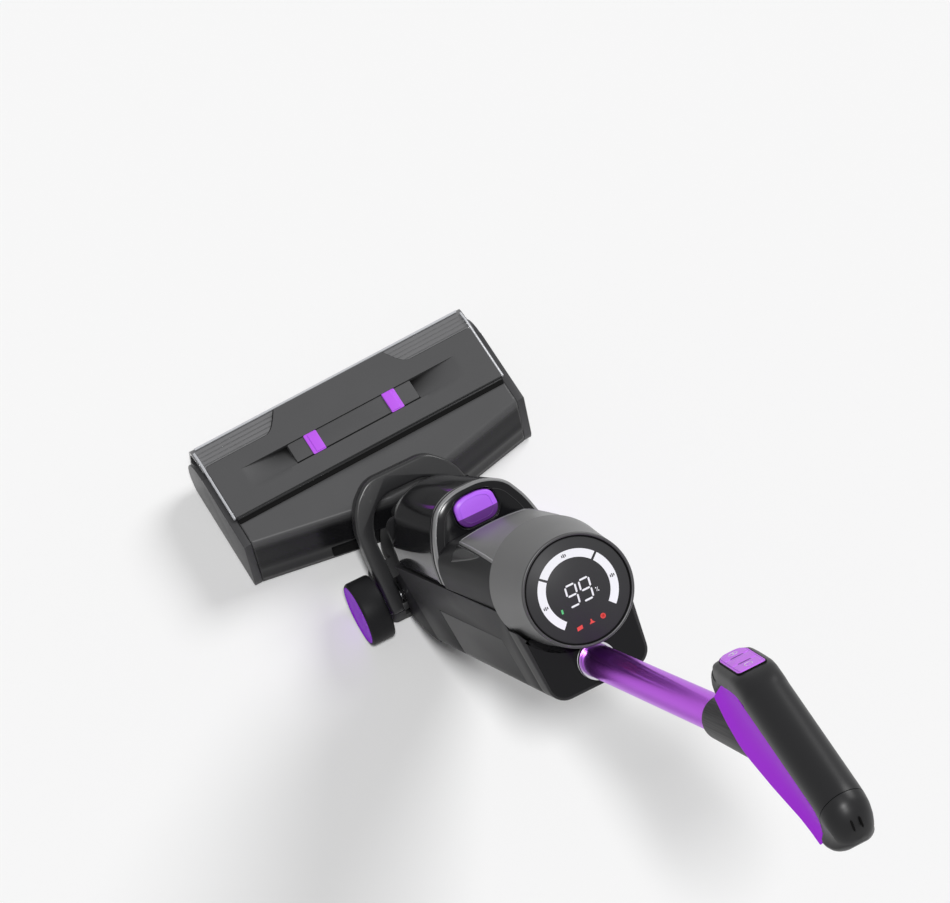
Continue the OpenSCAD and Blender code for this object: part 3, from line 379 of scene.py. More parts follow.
def beadAlong(name, points, raised, radius, finishName, body, taper=True):
    # a round bead along placed points: each ring lies square to the line, and raised is its upward direction
    along = np.gradient(points, axis=0)
    along /= np.linalg.norm(along, axis=1)[:, None]
    side = np.cross(along, np.broadcast_to(raised, points.shape))
    side /= np.linalg.norm(side, axis=1)[:, None]
    height = np.cross(side, along)
    radii = np.full((len(points), 1, 1), radius * mm)
    if taper:
        radii[[0, -1]] *= 0.3
    turn = np.linspace(0, 2 * math.pi, 8, endpoint=False)[None, :, None]
    rings = points[:, None] + radii * (np.cos(turn) * side[:, None] + np.sin(turn) * height[:, None])
    return ringSolid(name, rings, finishName, body)


def sheetSolid(name, top, under, finishName, body, standsFor=(), sharp=40):
    # two matching grids, the upper and the under side of a sheet, joined along their rim
    rows, columns = top.shape[:2]
    count = rows * columns
    faces = gridFaces(rows, columns) + np.array(gridFaces(rows, columns, start=count))[:, ::-1].tolist()
    rim = np.concatenate([np.arange(columns), np.arange(1, rows) * columns + columns - 1,
                          (rows - 1) * columns + np.arange(columns - 2, -1, -1),
                          np.arange(rows - 2, 0, -1) * columns])
    ahead = np.roll(rim, -1)
    faces += np.stack([ahead, rim, rim + count, ahead + count], axis=-1).tolist()
    points = np.concatenate([top.reshape(-1, 3), under.reshape(-1, 3)])
    return outwards(pieceFrom(name, points, faces, finishName, body, standsFor), sharp)


def giveWall(sheet, thickness):  # a wall behind an open sheet
    wall = sheet.modifiers.new("wall", "SOLIDIFY")
    wall.thickness = thickness * mm
    wall.offset = -1.0


def softened(node, width, angle=32):
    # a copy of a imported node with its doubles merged, its flat areas joined and its edges rounded
    mesh = frame["nodes"][node].data.copy()
    mesh.name = node + "Soft"
    shape = bmesh.new()
    shape.from_mesh(mesh)
    bmesh.ops.remove_doubles(shape, verts=shape.verts, dist=1e-5)
    bmesh.ops.dissolve_limit(shape, angle_limit=math.radians(0.6), verts=shape.verts, edges=shape.edges)
    shape.to_mesh(mesh)
    shape.free()
    mesh.polygons.foreach_set("use_smooth", np.ones(len(mesh.polygons), bool))
    piece = addObject(mesh.name, mesh)
    edge = piece.modifiers.new("softEdges", "BEVEL")
    edge.width = width * mm
    edge.segments = 3
    edge.limit_method = "ANGLE"
    edge.angle_limit = math.radians(angle)
    edge.use_clamp_overlap = True
    edge.harden_normals = True
    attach(piece, bodyOf[node])
    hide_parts(node)


# head
coverSettings = dict(halfWidth=142.3, rear=11.4, sideFront=70.7, noseFront=91.0, noseHalf=58.0, noseRun=20.0,
                     corner=4.0, top=66.0, thick=2.4, floor=1.6, slotRear=30.3, slotFront=52.6, slotHalf=66.0,
                     slotDepth=4.4, scoopTip=113.0, scoopDepth=7.0, edge=0.7, edgeShadowHeight=63.8)


def coverHeight(x, y):  # flat top, less the slot or the scoops, whose depth falls to nought at their tips
    size = coverSettings
    across = np.abs(x)
    run = np.clip((size["scoopTip"] - across) / (size["scoopTip"] - size["slotHalf"]), 0, 1)
    rise = np.clip((y - size["slotRear"]) / (size["slotFront"] - size["slotRear"]), 0, 1)
    scoop = size["scoopDepth"] * run ** 0.9 * rise ** 0.7
    depth = np.where(across < size["slotHalf"], size["slotDepth"], scoop)
    return size["top"] - np.where((y > size["slotRear"]) & (y < size["slotFront"]), depth, 0.0)


def coverFront(x):  # straight nose, a quarter-sine shoulder, then the straight sides with round corners
    size = coverSettings
    shoulder = np.sin(0.5 * math.pi * np.clip((np.abs(x) - size["noseHalf"]) / size["noseRun"], 0, 1))
    front = size["noseFront"] - (size["noseFront"] - size["sideFront"]) * shoulder
    corner = np.clip((np.abs(x) - size["halfWidth"] + size["corner"]) / size["corner"], 0, 1)
    return front - size["corner"] * (1 - np.sqrt(1 - corner ** 2))


def makeCover():
    # the plate's height over a grid that is finer where it steps, and the same grid below as its underside
    size = coverSettings
    half = np.concatenate([[0, 12, 24, 36, 48, 55, 57.4, 58.2, 59, 60, 61.5, 63, 64.5, 65.95, 66.05],
                           np.arange(68, 82, 2), np.linspace(83, 138, 28),
                           [138.6, 139.4, 140.2, 140.9, 141.5, 141.9, 142.15, size["halfWidth"]]])
    x = np.concatenate([-half[:0:-1], half])
    rear = np.concatenate([[size["rear"], 11.9, 14, 20, 26, 30.25, 30.35], np.linspace(31, 52, 22),
                           [52.55, 52.65, 55, 58]])[:, None]
    share = np.array([0.25, 0.5, 0.75, 0.93, 0.985, 1.0])[:, None]
    y = np.concatenate([rear + 0 * x, rear[-1] + share * (coverFront(x) - rear[-1])])
    z = coverHeight(x, y)
    z[[0, -1]] -= size["edge"]
    z[:, [0, -1]] = size["top"] - size["edge"]
    under = np.minimum(z - size["floor"], size["top"] - size["thick"])
    # the plate's finish paints shade into the slot and the scoops
    sheetSolid("coverTop", levelPlace(x, y, z), levelPlace(x, y, under), "plateGreyHollowShade", "cover",
               ("cover_plate",))
    line = np.concatenate([np.linspace(141.6, 79, 40), np.linspace(78, 58, 30)])
    for side, label in bothSides:  # a dark bead along the plate's edge where it meets the window: a painted shadow of that edge
        points = levelPlace(side * line, coverFront(line) + 0.35, size["edgeShadowHeight"])
        beadAlong("plateEdgeShadow" + label, points, (0.0, 0.0, 1.0), 0.75, "gasketBlack", "cover")


windowSettings = dict(halfWidth=145.8, rear=68.0, ribs=(74.5, 79.0, 83.5, 88.0), ribDrop=0.6, top=63.1,
                      front=96.9, low=31.8, round=6.5, wall=2.4)


def makeWindow():
    # a shelf that steps down at each rib, rounds over by a quarter circle and falls to the roller's height
    size = windowSettings
    front, z = size["front"], size["top"]
    outline = [(size["rear"], z)]
    for rib in size["ribs"]:
        outline += [(rib - 1.8, z), (rib - 1.0, z + 0.8), (rib - 0.2, z + 0.3), (rib, z - size["ribDrop"])]
        z -= size["ribDrop"]
    turn = np.linspace(0, math.pi / 2, 8)
    outline += list(zip(front - size["round"] + size["round"] * np.sin(turn),
                        z - size["round"] + size["round"] * np.cos(turn)))
    outline += [(front, 44.0), (front, size["low"]), (front - size["wall"], size["low"]),
                (front - size["wall"], 52.0), (front - 5.0, 57.0), (88.0, 59.4), (size["rear"], 60.9)]
    end = size["halfWidth"]
    xs = np.concatenate([[-end], np.linspace(-end + 1.2, end - 1.2, 25), [end]])
    bandAlong("frontWindow", outline, xs, levelPlace, "smokedWindow", "cover", ("front_window",), sharp=50)


def makeClearEdges():
    # the clear cut edges, tinted pale as a painted highlight: an oval bead along the front, and a strip on each
    # side that dips towards its front
    turn = np.linspace(0, 2 * math.pi, 12, endpoint=False)
    bead = np.stack([93.6 + 1.25 * np.cos(turn), 61.4 + 1.0 * np.sin(turn)], axis=-1)
    bandAlong("clearFrontEdge", bead, np.linspace(-141, 141, 40), levelPlace, "clearRimHighlight", "cover")
    y = np.concatenate([[11.6], np.linspace(12.4, 86, 20), [90.0]])[:, None]
    for side, label in bothSides:
        corners = [(side * 142.55, 62.2), (side * 144.9, 62.2), (side * 144.6, 65.0), (side * 142.55, 65.9)]
        x, z = roundedLoop(corners, 0.5, 4).T
        rings = levelPlace(x, y, z - np.maximum(0, y - 80) * 0.25)
        ringSolid("clearSideEdge" + label, rings, "clearRimHighlight", "cover", sharp=40)


def rectangle(left, right, near, far):  # its four corners, one after another
    return [(left, near), (right, near), (right, far), (left, far)]


sliderSettings = dict(middle=41.9, halfWidth=6.7, rear=30.6, front=52.3, low=65.45, high=67.3, step=0.7)


def makeLatches():
    # the bar in the cover's slot, and a slider at each side with a raised, narrower top
    size = sliderSettings
    bar = roundedLoop(rectangle(-65.6, 65.6, 32.0, 52.0), 0.5, 3)
    roundedSlab("latchBar", bar, 61.8, 65.4, 0.4, levelPlace, "coverGrey", "cover", ("latch_bar",), count=240)
    rear, front, half = size["rear"], size["front"], size["halfWidth"]
    shoulder = size["high"] - size["step"]
    for side, label in bothSides:
        middle, body = side * size["middle"], label.lower() + "_release"
        foot = roundedLoop(rectangle(middle - half, middle + half, rear, front), 1.0, 4)
        roundedSlab("slider" + label, foot, size["low"], shoulder, 0.4, levelPlace, "sliderPurple", body,
                    ("latch_" + label.lower(),), count=96)
        left, right = sorted([middle - side * (half - 0.25), middle + side * (half - 3.6)])
        top = roundedLoop(rectangle(left, right, rear + 1.0, front - 1.0), 0.8, 4)
        roundedSlab("sliderTop" + label, top, shoulder - 0.4, size["high"], 0.35, levelPlace, "sliderPurple",
                    body, count=96)


deckSettings = dict(halfWidth=141.7, front=7.4, top=62.0, cornerRear=-17.5, vee=0.197, middle=9.0, run=15.0,
                    swell=1.4, shoulder=4.5, shoulderTurn=75, setBack=4.0, slopeFoot=9.0, neckHalf=34.0,
                    neckFloor=29.0)


def deckEdge(x):  # where the flat deck ends: a shallow vee across the head, cut off in the middle
    size = deckSettings
    return size["cornerRear"] - size["vee"] * (size["halfWidth"] - np.maximum(np.abs(x), size["middle"]))


def makeRearDeck():
    # at each distance across: the flat deck, a rounded shoulder, then a slope with a swell and a crease
    size = deckSettings
    side = np.linspace(34.5, size["halfWidth"], 60)
    x = np.concatenate([-side[::-1], np.linspace(-33.5, 33.5, 34), side])
    edge = deckEdge(x)
    turn = np.linspace(0, math.radians(size["shoulderTurn"]), 9)
    shoulder = np.stack([size["shoulder"] * np.sin(turn) - size["setBack"],
                         size["top"] - size["shoulder"] * (1 - np.cos(turn))], axis=-1)
    startBack, startHeight = shoulder[-1]
    t = np.linspace(0.06, 1, 16)
    bulge = size["swell"] * np.sin(math.pi * t) + np.exp(-((t - 0.62) / 0.1) ** 2)
    slope = np.stack([startBack + t * (size["run"] - startBack - 0.6) + bulge,
                      startHeight + t * (size["slopeFoot"] - startHeight)], axis=-1)
    foot = [[size["run"] - 1.6, 6.0], [size["run"] - 3.0, 4.2]]
    back, height = np.concatenate([shoulder, slope, foot]).T
    share = np.linspace(0, 1, 6)[:, None]
    flat = size["front"] + share * (edge + size["setBack"] - size["front"])
    y = np.concatenate([flat, edge - back[:, None]])
    z = np.concatenate([np.full(flat.shape, size["top"]), height[:, None] + 0 * x])
    lowest = np.where(np.abs(x) < size["neckHalf"], size["neckFloor"], 0.0)  # the slope stops above the neck
    y = np.where(z < lowest, edge - np.interp(lowest, height[::-1], back[::-1]), y)
    faces = np.array(gridFaces(*y.shape))[:, ::-1].tolist()
    points = levelPlace(x, y, np.maximum(z, lowest))
    giveWall(pieceFrom("rearDeck", points, faces, "deckGrey", "head", ("rear_deck",)), 0.6)


def makeHeadTrim():
    # the dark strip under the cover's rear edge, and at each side of the neck a black patch that paints in the
    # shade of a notch on the slope
    strip = roundedLoop(rectangle(-141.5, 141.5, 5.4, 11.2), 0.3, 3)
    roundedSlab("coverGasket", strip, 61.0, 63.0, 0.3, levelPlace, "gasketBlack", "head", count=200)
    for side, label in bothSides:
        outline = [(side * 46, 12.0), (side * 74, 12.0), (side * 74, 21.5), (side * 46, 24.5)]
        x, z = counterClockwise(roundedLoop(outline, 1.5, 4)).T
        slope = deckEdge(x) - 15.2 + (z - 8.0) * 0.215 - 1.2
        rings = np.stack([levelPlace(x, slope + depth, z) for depth in (-0.5, -0.3, 2.0)])
        ringSolid("rearNotchShade" + label, rings, "gasketBlack", "head", sharp=40)


makeCover()
makeWindow()
makeClearEdges()
makeLatches()
makeRearDeck()
makeHeadTrim()
headRounding = dict(left_cheek=1.6, right_cheek=1.6, chassis=0.4, sole_plate=0.8, cover_frame=0.4,
                    yoke_carriage=1.8)
for node, width in headRounding.items():
    softened(node, width)
print("head ready")

# yoke and wheels
wheelSettings = dict(inner=62.0, outer=86.0, seat=24.0, bore=5.0, head=9.0)


def makeWheels():
    # a tyre and a hub on each side, turned about the axle: radius, then distance from the middle
    inner, outer = wheelSettings["inner"], wheelSettings["outer"]
    seat, bore, head = wheelSettings["seat"], wheelSettings["bore"], wheelSettings["head"]
    tyre = [(seat + 0.2, inner + 0.4), (28.4, inner + 0.1), (29.6, inner + 0.5), (30.5, inner + 1.4),
            (31.0, inner + 3.0), (31.0, outer - 3.4), (30.7, outer - 2.0), (30.0, outer - 0.9),
            (29.1, outer - 0.3), (28.7, outer - 0.2), (28.5, outer - 0.6), (28.5, outer - 2.0),
            (seat + 0.2, outer - 2.0)]
    hub = [(0.4, outer - 1.9), (head, outer - 1.9), (head, outer - 5.0), (bore, outer - 5.0),
           (bore, inner + 0.3), (seat, inner + 0.3), (seat, outer - 1.8), (28.1, outer - 1.6),
           (28.3, outer - 1.2), (28.2, outer - 0.3), (27.7, outer), (27.0, outer - 0.1), (26.3, outer - 0.5),
           (14.0, outer - 0.2), (5.0, outer - 0.1), (0.4, outer - 0.1)]
    for side, label in bothSides:
        name, place = label.lower(), wheelPlace(side)
        lathe(name + "Tyre", tyre, place, "tyreRubber", name + "_wheel", ("wheel_tyre_" + name,), sharp=50)
        lathe(name + "HubCap", hub, place, "hubPurple", name + "_wheel", ("wheel_hub_" + name,), sharp=35,
              filled=True)


hoopSettings = dict(low=-4.0, high=14.0, rim=3.0)


def makeHoop():
    # one outline, open towards the floor, lifted along the body's axis; an ear and a foot at each side
    size = hoopSettings
    half = [(31, 112.4), (46, 99), (53, 88), (58, 72), (59, 45), (59, -12), (43.5, -12), (43.5, 40),
            (44, 58), (41, 70), (34, 84), (20, 93)]
    radii = [26, 30, 40, 40, 60, 5, 5, 60, 40, 30, 26, 26]
    loop = roundedLoop(half + [(-across, ahead) for across, ahead in half[::-1]], radii + radii[::-1], 7)
    roundedSlab("hoop", loop, size["low"], size["high"], size["rim"], leanPlace, "hoopBlack", "yoke",
                ("yoke_hoop",), count=420)
    ear = [(6.3, 44.2), (11.6, 44.2), (13.0, 45.6), (13.0, 57.4), (11.6, 58.9), (6.3, 58.9)]
    for side, label in bothSides:
        lathe("hoopEar" + label, ear, wheelPlace(side), "hoopBlack", "yoke", count=64, sharp=40)
        foot = roundedLoop(rectangle(side * 34.6, side * 46.4, -11.8, -5.2), 1.2, 4)
        roundedSlab("hoopFoot" + label, foot, 12.1, 13.9, 0.6, leanPlace, "hoopBlack", "yoke", count=60)


makeWheels()
makeHoop()
softened("pivot_housing", 1.6)
print("yoke and wheels ready")

# body
tankSettings = dict(foot=104.3, top=271.6, lid=281.0, footHalf=50.0, topHalf=52.0, footFront=107.0,
                    topFront=118.5, back=46.0)
buttonSettings = dict(middle=97.0, width=39.6, depth=27.0, foot=274.6, top=284.2)


def stacked(name, loops, levels, finishName, body, standsFor=(), sharp=40):
    # loops across the body, one for each level
    rings = np.stack([leanPlace(*loop.T, level) for loop, level in zip(loops, levels)])
    return ringSolid(name, rings, finishName, body, standsFor, sharp)


def archLine(half, front, back):  # straight flanks and a rounded front: each corner of the arch made an arc
    right = [(half, back), (half - 1, back + 20), (half - 6, front - 35), (half - 9, front - 27),
             (half - 17, front - 12), (half - 26, front - 5), (half - 40, front)]
    radii = [3, 60, 60, 60, 45, 45, 60]
    return roundedLoop(right + [(-across, ahead) for across, ahead in right[::-1]], radii + radii[::-1], 6)


def tankLoop(level, pull=0.0):  # the arch grows evenly from the foot to the lid
    size = tankSettings
    k = (level - size["foot"]) / (size["lid"] - size["foot"])
    loop = archLine(size["footHalf"] + k * (size["topHalf"] - size["footHalf"]),
                    size["footFront"] + k * (size["topFront"] - size["footFront"]), size["back"])
    return inset(counterClockwise(evenLoop(loop, 180, start=(size["footHalf"], size["back"]))), pull)


def buttonOutline(pull):  # a rectangle that bulges at its front, with large corners
    half, deep, middle = buttonSettings["width"] / 2, buttonSettings["depth"] / 2, buttonSettings["middle"]
    right = [(half, middle - deep), (half - 1.5, middle + deep - 3), (6, middle + deep)]
    corners = right + [(-across, ahead) for across, ahead in right[::-1]]
    return inset(counterClockwise(evenLoop(roundedLoop(corners, [13, 15, 17, 17, 15, 13], 8), 160)), pull)


def aroundCentre(loop, centre, count=200):  # a star-shaped loop's points at even angles about a centre
    spokes = loop - centre
    angle = np.mod(np.arctan2(spokes[:, 1], spokes[:, 0]), 2 * math.pi)
    order = np.argsort(angle)
    at = np.linspace(0, 2 * math.pi, count, endpoint=False)
    reach = np.interp(at, angle[order], np.linalg.norm(spokes, axis=1)[order], period=2 * math.pi)
    return centre + np.stack([reach * np.cos(at), reach * np.sin(at)], axis=-1)


def framed(name, loops, levels, hole, finishName, standsFor=()):
    # the outer loops stacked up, then down the hole's wall and back to the start
    centre = np.array([0.0, buttonSettings["middle"]])
    loops = [aroundCentre(loop, centre) for loop in [*loops, hole, hole, loops[0]]]
    levels = [*levels, levels[-1], levels[0], levels[0]]
    rings = np.stack([leanPlace(*loop.T, level) for loop, level in zip(loops, levels)])
    ringBand(name, rings, finishName, "waste_tank", standsFor, sharp=40)


def makeTank():
    # the tank's arch from foot to top, with both edges rounded
    levels, insets = rimLevels(tankSettings["foot"], tankSettings["top"], 3.0)
    levels = np.concatenate([levels[:5], np.linspace(120, 260, 6), levels[5:]])
    insets = np.concatenate([insets[:5], np.zeros(6), insets[5:]])
    stacked("wasteTank", [tankLoop(level, pull) for level, pull in zip(levels, insets)], levels, "smokedTank",
            "waste_tank", ("dirty_tank",))


def makeLid():
    # a pale rounded rim, then a dark deck with a fine line, both open round the button's well
    lid = tankSettings["lid"]
    levels, insets = rimLevels(272.2, lid - 0.1, 1.8)
    well = buttonOutline(-1.4)
    framed("lidRim", [tankLoop(level, pull) for level, pull in zip(levels, insets)], levels, well, "rimGrey",
           ("tank_lid",))
    framed("lidDeck", [tankLoop(lid, pull) for pull in (2.4, 2.4, 2.8)], [lid - 0.6, lid, lid + 0.25], well,
           "glossBlack")
    inner = tankLoop(lid, 9.0)
    inner = inner[inner[:, 1] > 62]
    order = np.argsort(np.arctan2(inner[:, 1] - 70, inner[:, 0]))
    beadAlong("lidLine", leanPlace(*inner[order].T, lid + 0.3), upBody, 0.35, "sideGrey", "waste_tank")


def loopBead(name, loop, level, radius, finishName, body):  # a bead all the way round a loop across the body
    points = leanPlace(*np.vstack([loop, loop[:2]]).T, level)
    beadAlong(name, points, upBody, radius, finishName, body, taper=False)


def makeButton():
    # a low dome: the outline lifted while it draws in along two quarter circles, and a raised bead on it
    foot, top = buttonSettings["foot"], buttonSettings["top"]
    loop = buttonOutline(0.0)
    centre = np.array([0.0, buttonSettings["middle"]])
    turn = np.linspace(0, math.pi / 2, 7)[1:]
    levels = np.concatenate([[foot, foot + 0.6, top - 3.2], top - 3.2 + 2.2 * np.sin(turn),
                             top - 1.0 + 1.0 * np.sin(turn)])
    drawIn = 1 - np.cos(turn)
    scales = np.concatenate([[0.97, 1.0, 1.0], 1 - 0.13 * drawIn, 0.87 - 0.82 * drawIn])
    stacked("releaseButton", [centre + (loop - centre) * scale for scale in scales], levels, "buttonPurpleShade",
            "tank_release", ("tank_button",), sharp=60)
    loopBead("buttonOutline", centre + (loop - centre) * 0.76, top - 0.42, 0.32, "buttonPurpleShade",
             "tank_release")
    loopBead("buttonWell", buttonOutline(-1.9), tankSettings["lid"] + 0.3, 0.6, "glossBlack", "waste_tank")


shellSettings = dict(foot=281.9, top=451.9, circle=50.4, circleMiddle=49.2)


def shellLine(level, out=0.0):
    # from a many-cornered front at the foot to part of a circle at the top: matching points joined by lines
    size = shellSettings
    right = [(52, 45.2), (52, 60), (48, 74), (33, 81)]
    radii = [1, 20, 14, 18]
    corners = right + [(-across, ahead) for across, ahead in right[::-1]]
    rounded = roundedLoop(corners, radii + radii[::-1], 7)
    foot = sampled(rounded[np.argsort(-np.arctan2(rounded[:, 0], rounded[:, 1] - 45.0))], 121)
    turn = np.linspace(math.radians(-4.6), math.radians(184.6), 121)
    top = size["circle"] * np.stack([np.cos(turn), np.sin(turn)], axis=-1) + (0, size["circleMiddle"])
    line = foot + (level - size["foot"]) / (size["top"] - size["foot"]) * (top - foot)
    along = np.gradient(line, axis=0)
    along /= np.linalg.norm(along, axis=1)[:, None]
    return line + out * np.stack([along[:, 1], -along[:, 0]], axis=-1)


def shellFront(across, levels):  # how far ahead the shell's front lies, row by row
    rows = np.broadcast_arrays(across, np.asarray(levels)[:, None])[0]
    lines = [shellLine(level)[::-1] for level in levels]
    return np.stack([np.interp(row, *line.T) for row, line in zip(rows, lines)])


def makeUpperShell():
    # the shell's line stacked up, its foot drawn in by a small rim
    foot, top = shellSettings["foot"], shellSettings["top"]
    levels = np.concatenate([[foot, foot + 0.3, foot + 1.0], np.linspace(284, 451, 24), [top]])
    pulls = np.concatenate([[1.0, 0.4, 0.0], np.zeros(25)])
    stacked("upperShell", [counterClockwise(shellLine(level, -pull)) for level, pull in zip(levels, pulls)],
            levels, "shellBlack", "upright", ("upper_shell",), sharp=45)


shieldSettings = dict(foot=319.5, topEdge=452.0, footHalf=33.0, spread=6.0, rise=2.5)
shieldLevels = np.concatenate([[319.5], np.linspace(320.0, 451.4, 40), [451.9]])


def shieldHalf(levels):  # half the shield's width, growing evenly upwards
    size = shieldSettings
    return size["footHalf"] + size["spread"] * (levels - size["foot"]) / (size["topEdge"] - size["foot"])


def makeShield():
    # a grey sheet that lies a little in front of the shell, its sides and foot folded back to it
    share = np.concatenate([[-1.0, -0.997, -0.985], np.linspace(-0.96, 0.96, 41), [0.985, 0.997, 1.0]])
    x = share * shieldHalf(shieldLevels)[:, None]
    rise = np.full(x.shape, shieldSettings["rise"])
    rise[:, [1, -2]] = 1.7
    rise[:, [0, -1]] = 0.1
    rise[0] = 0.1
    points = leanPlace(x, shellFront(x, shieldLevels) + rise, shieldLevels[:, None])
    sheet = pieceFrom("shieldPanel", points, gridFaces(*x.shape), "panelGrey", "upright", ("front_panel",))
    facing(sheet, frontBody)
    giveWall(sheet, 0.3)


def makeRecesses():
    # black three-cornered sheets beside the shield: wide near their foot, narrowing by a power upwards
    up = np.linspace(0, 1, 26)
    part = np.concatenate([[0.0, 0.02], np.linspace(0.08, 0.92, 10), [0.98, 1.0]])
    levels = shieldSettings["foot"] - 6 + 86 * up
    wide = 14.0 * (1 - up) ** 0.8 * np.minimum(1, up / 0.1 + 0.02)
    lift = 0.35 * np.minimum(1, np.minimum(part, 1 - part) / 0.05)
    for side, label in bothSides:
        x = side * (0.6 + shieldHalf(levels)[:, None] + wide[:, None] * part)
        ahead = shellFront(x, levels)
        sheetSolid("sideRecess" + label, leanPlace(x, ahead + 0.1 + lift, levels[:, None]),
                   leanPlace(x, ahead - 1.0, levels[:, None]), "glossBlack", "upright")


def makeShieldEdges():  # pale beads along the shield's two sides and its foot
    levels, lift = shieldLevels[1:], shieldSettings["rise"] - 0.1
    for side, label in bothSides:
        x = side * (shieldHalf(levels)[:, None] - 0.9)
        points = leanPlace(x, shellFront(x, levels) + lift, levels[:, None])[:, 0]
        beadAlong("shieldEdge" + label, points, frontBody, 0.55, "panelEdge", "upright")
    x, level = np.linspace(-31.6, 31.6, 30), shieldSettings["foot"] + 1.6
    points = leanPlace(x, shellFront(x, [level])[0] + lift, level)
    beadAlong("shieldEdgeFoot", points, frontBody, 0.5, "panelEdge", "upright")


def facing(piece, direction):  # a sheet is turned over where its faces look away from a direction
    normals = np.empty(len(piece.data.polygons) * 3)
    piece.data.polygons.foreach_get("normal", normals)
    if normals.reshape(-1, 3).mean(0) @ direction < 0:
        piece.data.flip_normals()


def bayOutline(radius, reach, points, right, radii, cut):
    # part of a circle round the display, then the body's rounded back corners, cut short where the two meet
    turn = np.radians(np.linspace(-reach, reach, points))
    bay = radius * np.stack([np.sin(turn), -np.cos(turn)], axis=-1) + (0, shellSettings["circleMiddle"])
    corners = right + [(-across, ahead) for across, ahead in right[::-1]]
    return np.vstack([bay, roundedLoop(corners, radii + radii[::-1], 8)[cut:-cut]])


def makeEndCap():  # a grey flank, then a smaller black end face
    flank = bayOutline(53.4, 66, 60, [(50.4, 28.4), (43.5, -40.0)], [0.3, 15], 4)
    flank = counterClockwise(evenLoop(flank, 320))
    levels, pulls = [452.3, 452.9, 460, 468, 474, 477.4, 478.4], [0.3, 0.0, 0.0, 0.0, 0.0, 0.1, 0.5]
    stacked("endFlank", [inset(flank, pull) for pull in pulls], levels, "sideGrey", "upright", ("end_cap",))
    face = bayOutline(54.4, 58, 50, [(47.6, 20.4), (41.6, -37.9)], [0.5, 13], 8)
    roundedSlab("endFace", face, 477.2, 480.0, 1.6, leanPlace, "glossBlack", "upright", count=320)


makeTank()
makeLid()
makeButton()
makeUpperShell()
makeShield()
makeRecesses()
makeShieldEdges()
for node, width in dict(body_shell=1.5, clean_tank=1.0, clean_tank_cap=0.8).items():
    softened(node, width)
makeEndCap()
print("body ready")


# display
displaySettings = dict(middle=49.2, foot=452.4, tall=72.6, rim=46.5, flare=53.0, hollow=0.25, lip=1.3)
markSettings = dict(low=526.2, high=526.5, arcInner=26.6, arcOuter=33.4, arcSlant=0.6, iconRadius=30)


def displayPlace(across, ahead, up):  # measured from the display's middle
    return leanPlace(across, displaySettings["middle"] + ahead, up)


def makeHousing():
    # a flank that narrows evenly, less half a sine, then a quarter-round lip; a seal and the face lie inside
    size = displaySettings
    foot, rim, lip = size["foot"], size["rim"], size["lip"]
    k = np.linspace(0, 1, 9)
    radius = size["flare"] + (rim - size["flare"]) * k - size["hollow"] * np.sin(math.pi * k)
    turn = np.linspace(0, math.pi / 2, 6)[1:]
    edge = zip(rim - lip * (1 - np.cos(turn)), 525.9 + lip * np.sin(turn))
    inner = [(44.6, 527.2), (44.1, 526.9), (44.0, 526.0), (44.0, 513.0), (50.0, 456.0), (50.6, foot)]
    profile = [*zip(radius, foot + size["tall"] * k), *edge, *inner]
    lathe("displayHousing", profile, displayPlace, "housingGrey", "upright", ("display_housing",), 144,
          sharp=45)
    seal = [(43.9, 523.0), (43.9, 526.2), (43.6, 526.5), (42.9, 526.5), (42.7, 526.1), (42.7, 523.0)]
    lathe("displaySeal", seal, displayPlace, "gasketBlack", "upright", ("display_bezel",), 144)
    face = [(0.3, 524.6), (42.6, 524.6), (42.6, 526.0), (42.2, 526.3), (0.3, 526.3)]
    lathe("displayFace", face, displayPlace, "bezelGrey", "upright", ("display_glass",), 144, sharp=40,
          filled=True)


def onCircle(radius, degrees):  # clockwise from the display's top
    turn = np.radians(degrees)
    return radius * np.stack([np.sin(turn), np.cos(turn)], axis=-1)


def flatPlate(name, line, finishName, low=markSettings["low"], high=markSettings["high"]):
    # an outline on the display's face, lifted from low to high
    line = counterClockwise(np.asarray(line, float))
    rings = np.stack([displayPlace(*line.T, level) for level in (low, high)])
    ringSolid(name, rings, finishName, "upright", sharp=30)


def arcPlate(name, start, stop):  # between two circles, its ends cut on a slant
    slant = markSettings["arcSlant"]
    outer = onCircle(markSettings["arcOuter"], np.linspace(start, stop, 40))
    inner = onCircle(markSettings["arcInner"], np.linspace(stop - slant, start + slant, 40))
    flatPlate(name, np.concatenate([outer, inner]), "displayWhite")


def discPlate(name, middle, radius, finishName):  # twenty points round a circle
    flatPlate(name, onCircle(radius, np.linspace(0, 360, 20, endpoint=False)) + middle, finishName)


def makeArcs():
    # three arcs, each with an icon of three short bars
    arcPlate("topArc", -48.4, 47.4)
    arcPlate("rightArc", 50.6, 134.5)
    arcPlate("leftArc", -136.5, -51.6)
    for label, degrees in (("top", 0), ("right", 92), ("left", -94)):
        middle = onCircle(markSettings["iconRadius"], degrees)
        for number, tall in ((1, 2.0), (2, 3.0), (3, 2.0)):
            across = (number - 2) * 1.5
            bar = np.array(rectangle(across - 0.45, across + 0.45, -tall / 2, tall / 2)) + middle
            flatPlate(f"{label}IconBar{number}", bar, "iconDark", 526.4, 526.62)


digitSettings = dict(height=17.0, width=8.6, stroke=1.5, lean=0.13, gap=3.6, bottom=-10.2, shift=-1.0,
                     trim=0.6)


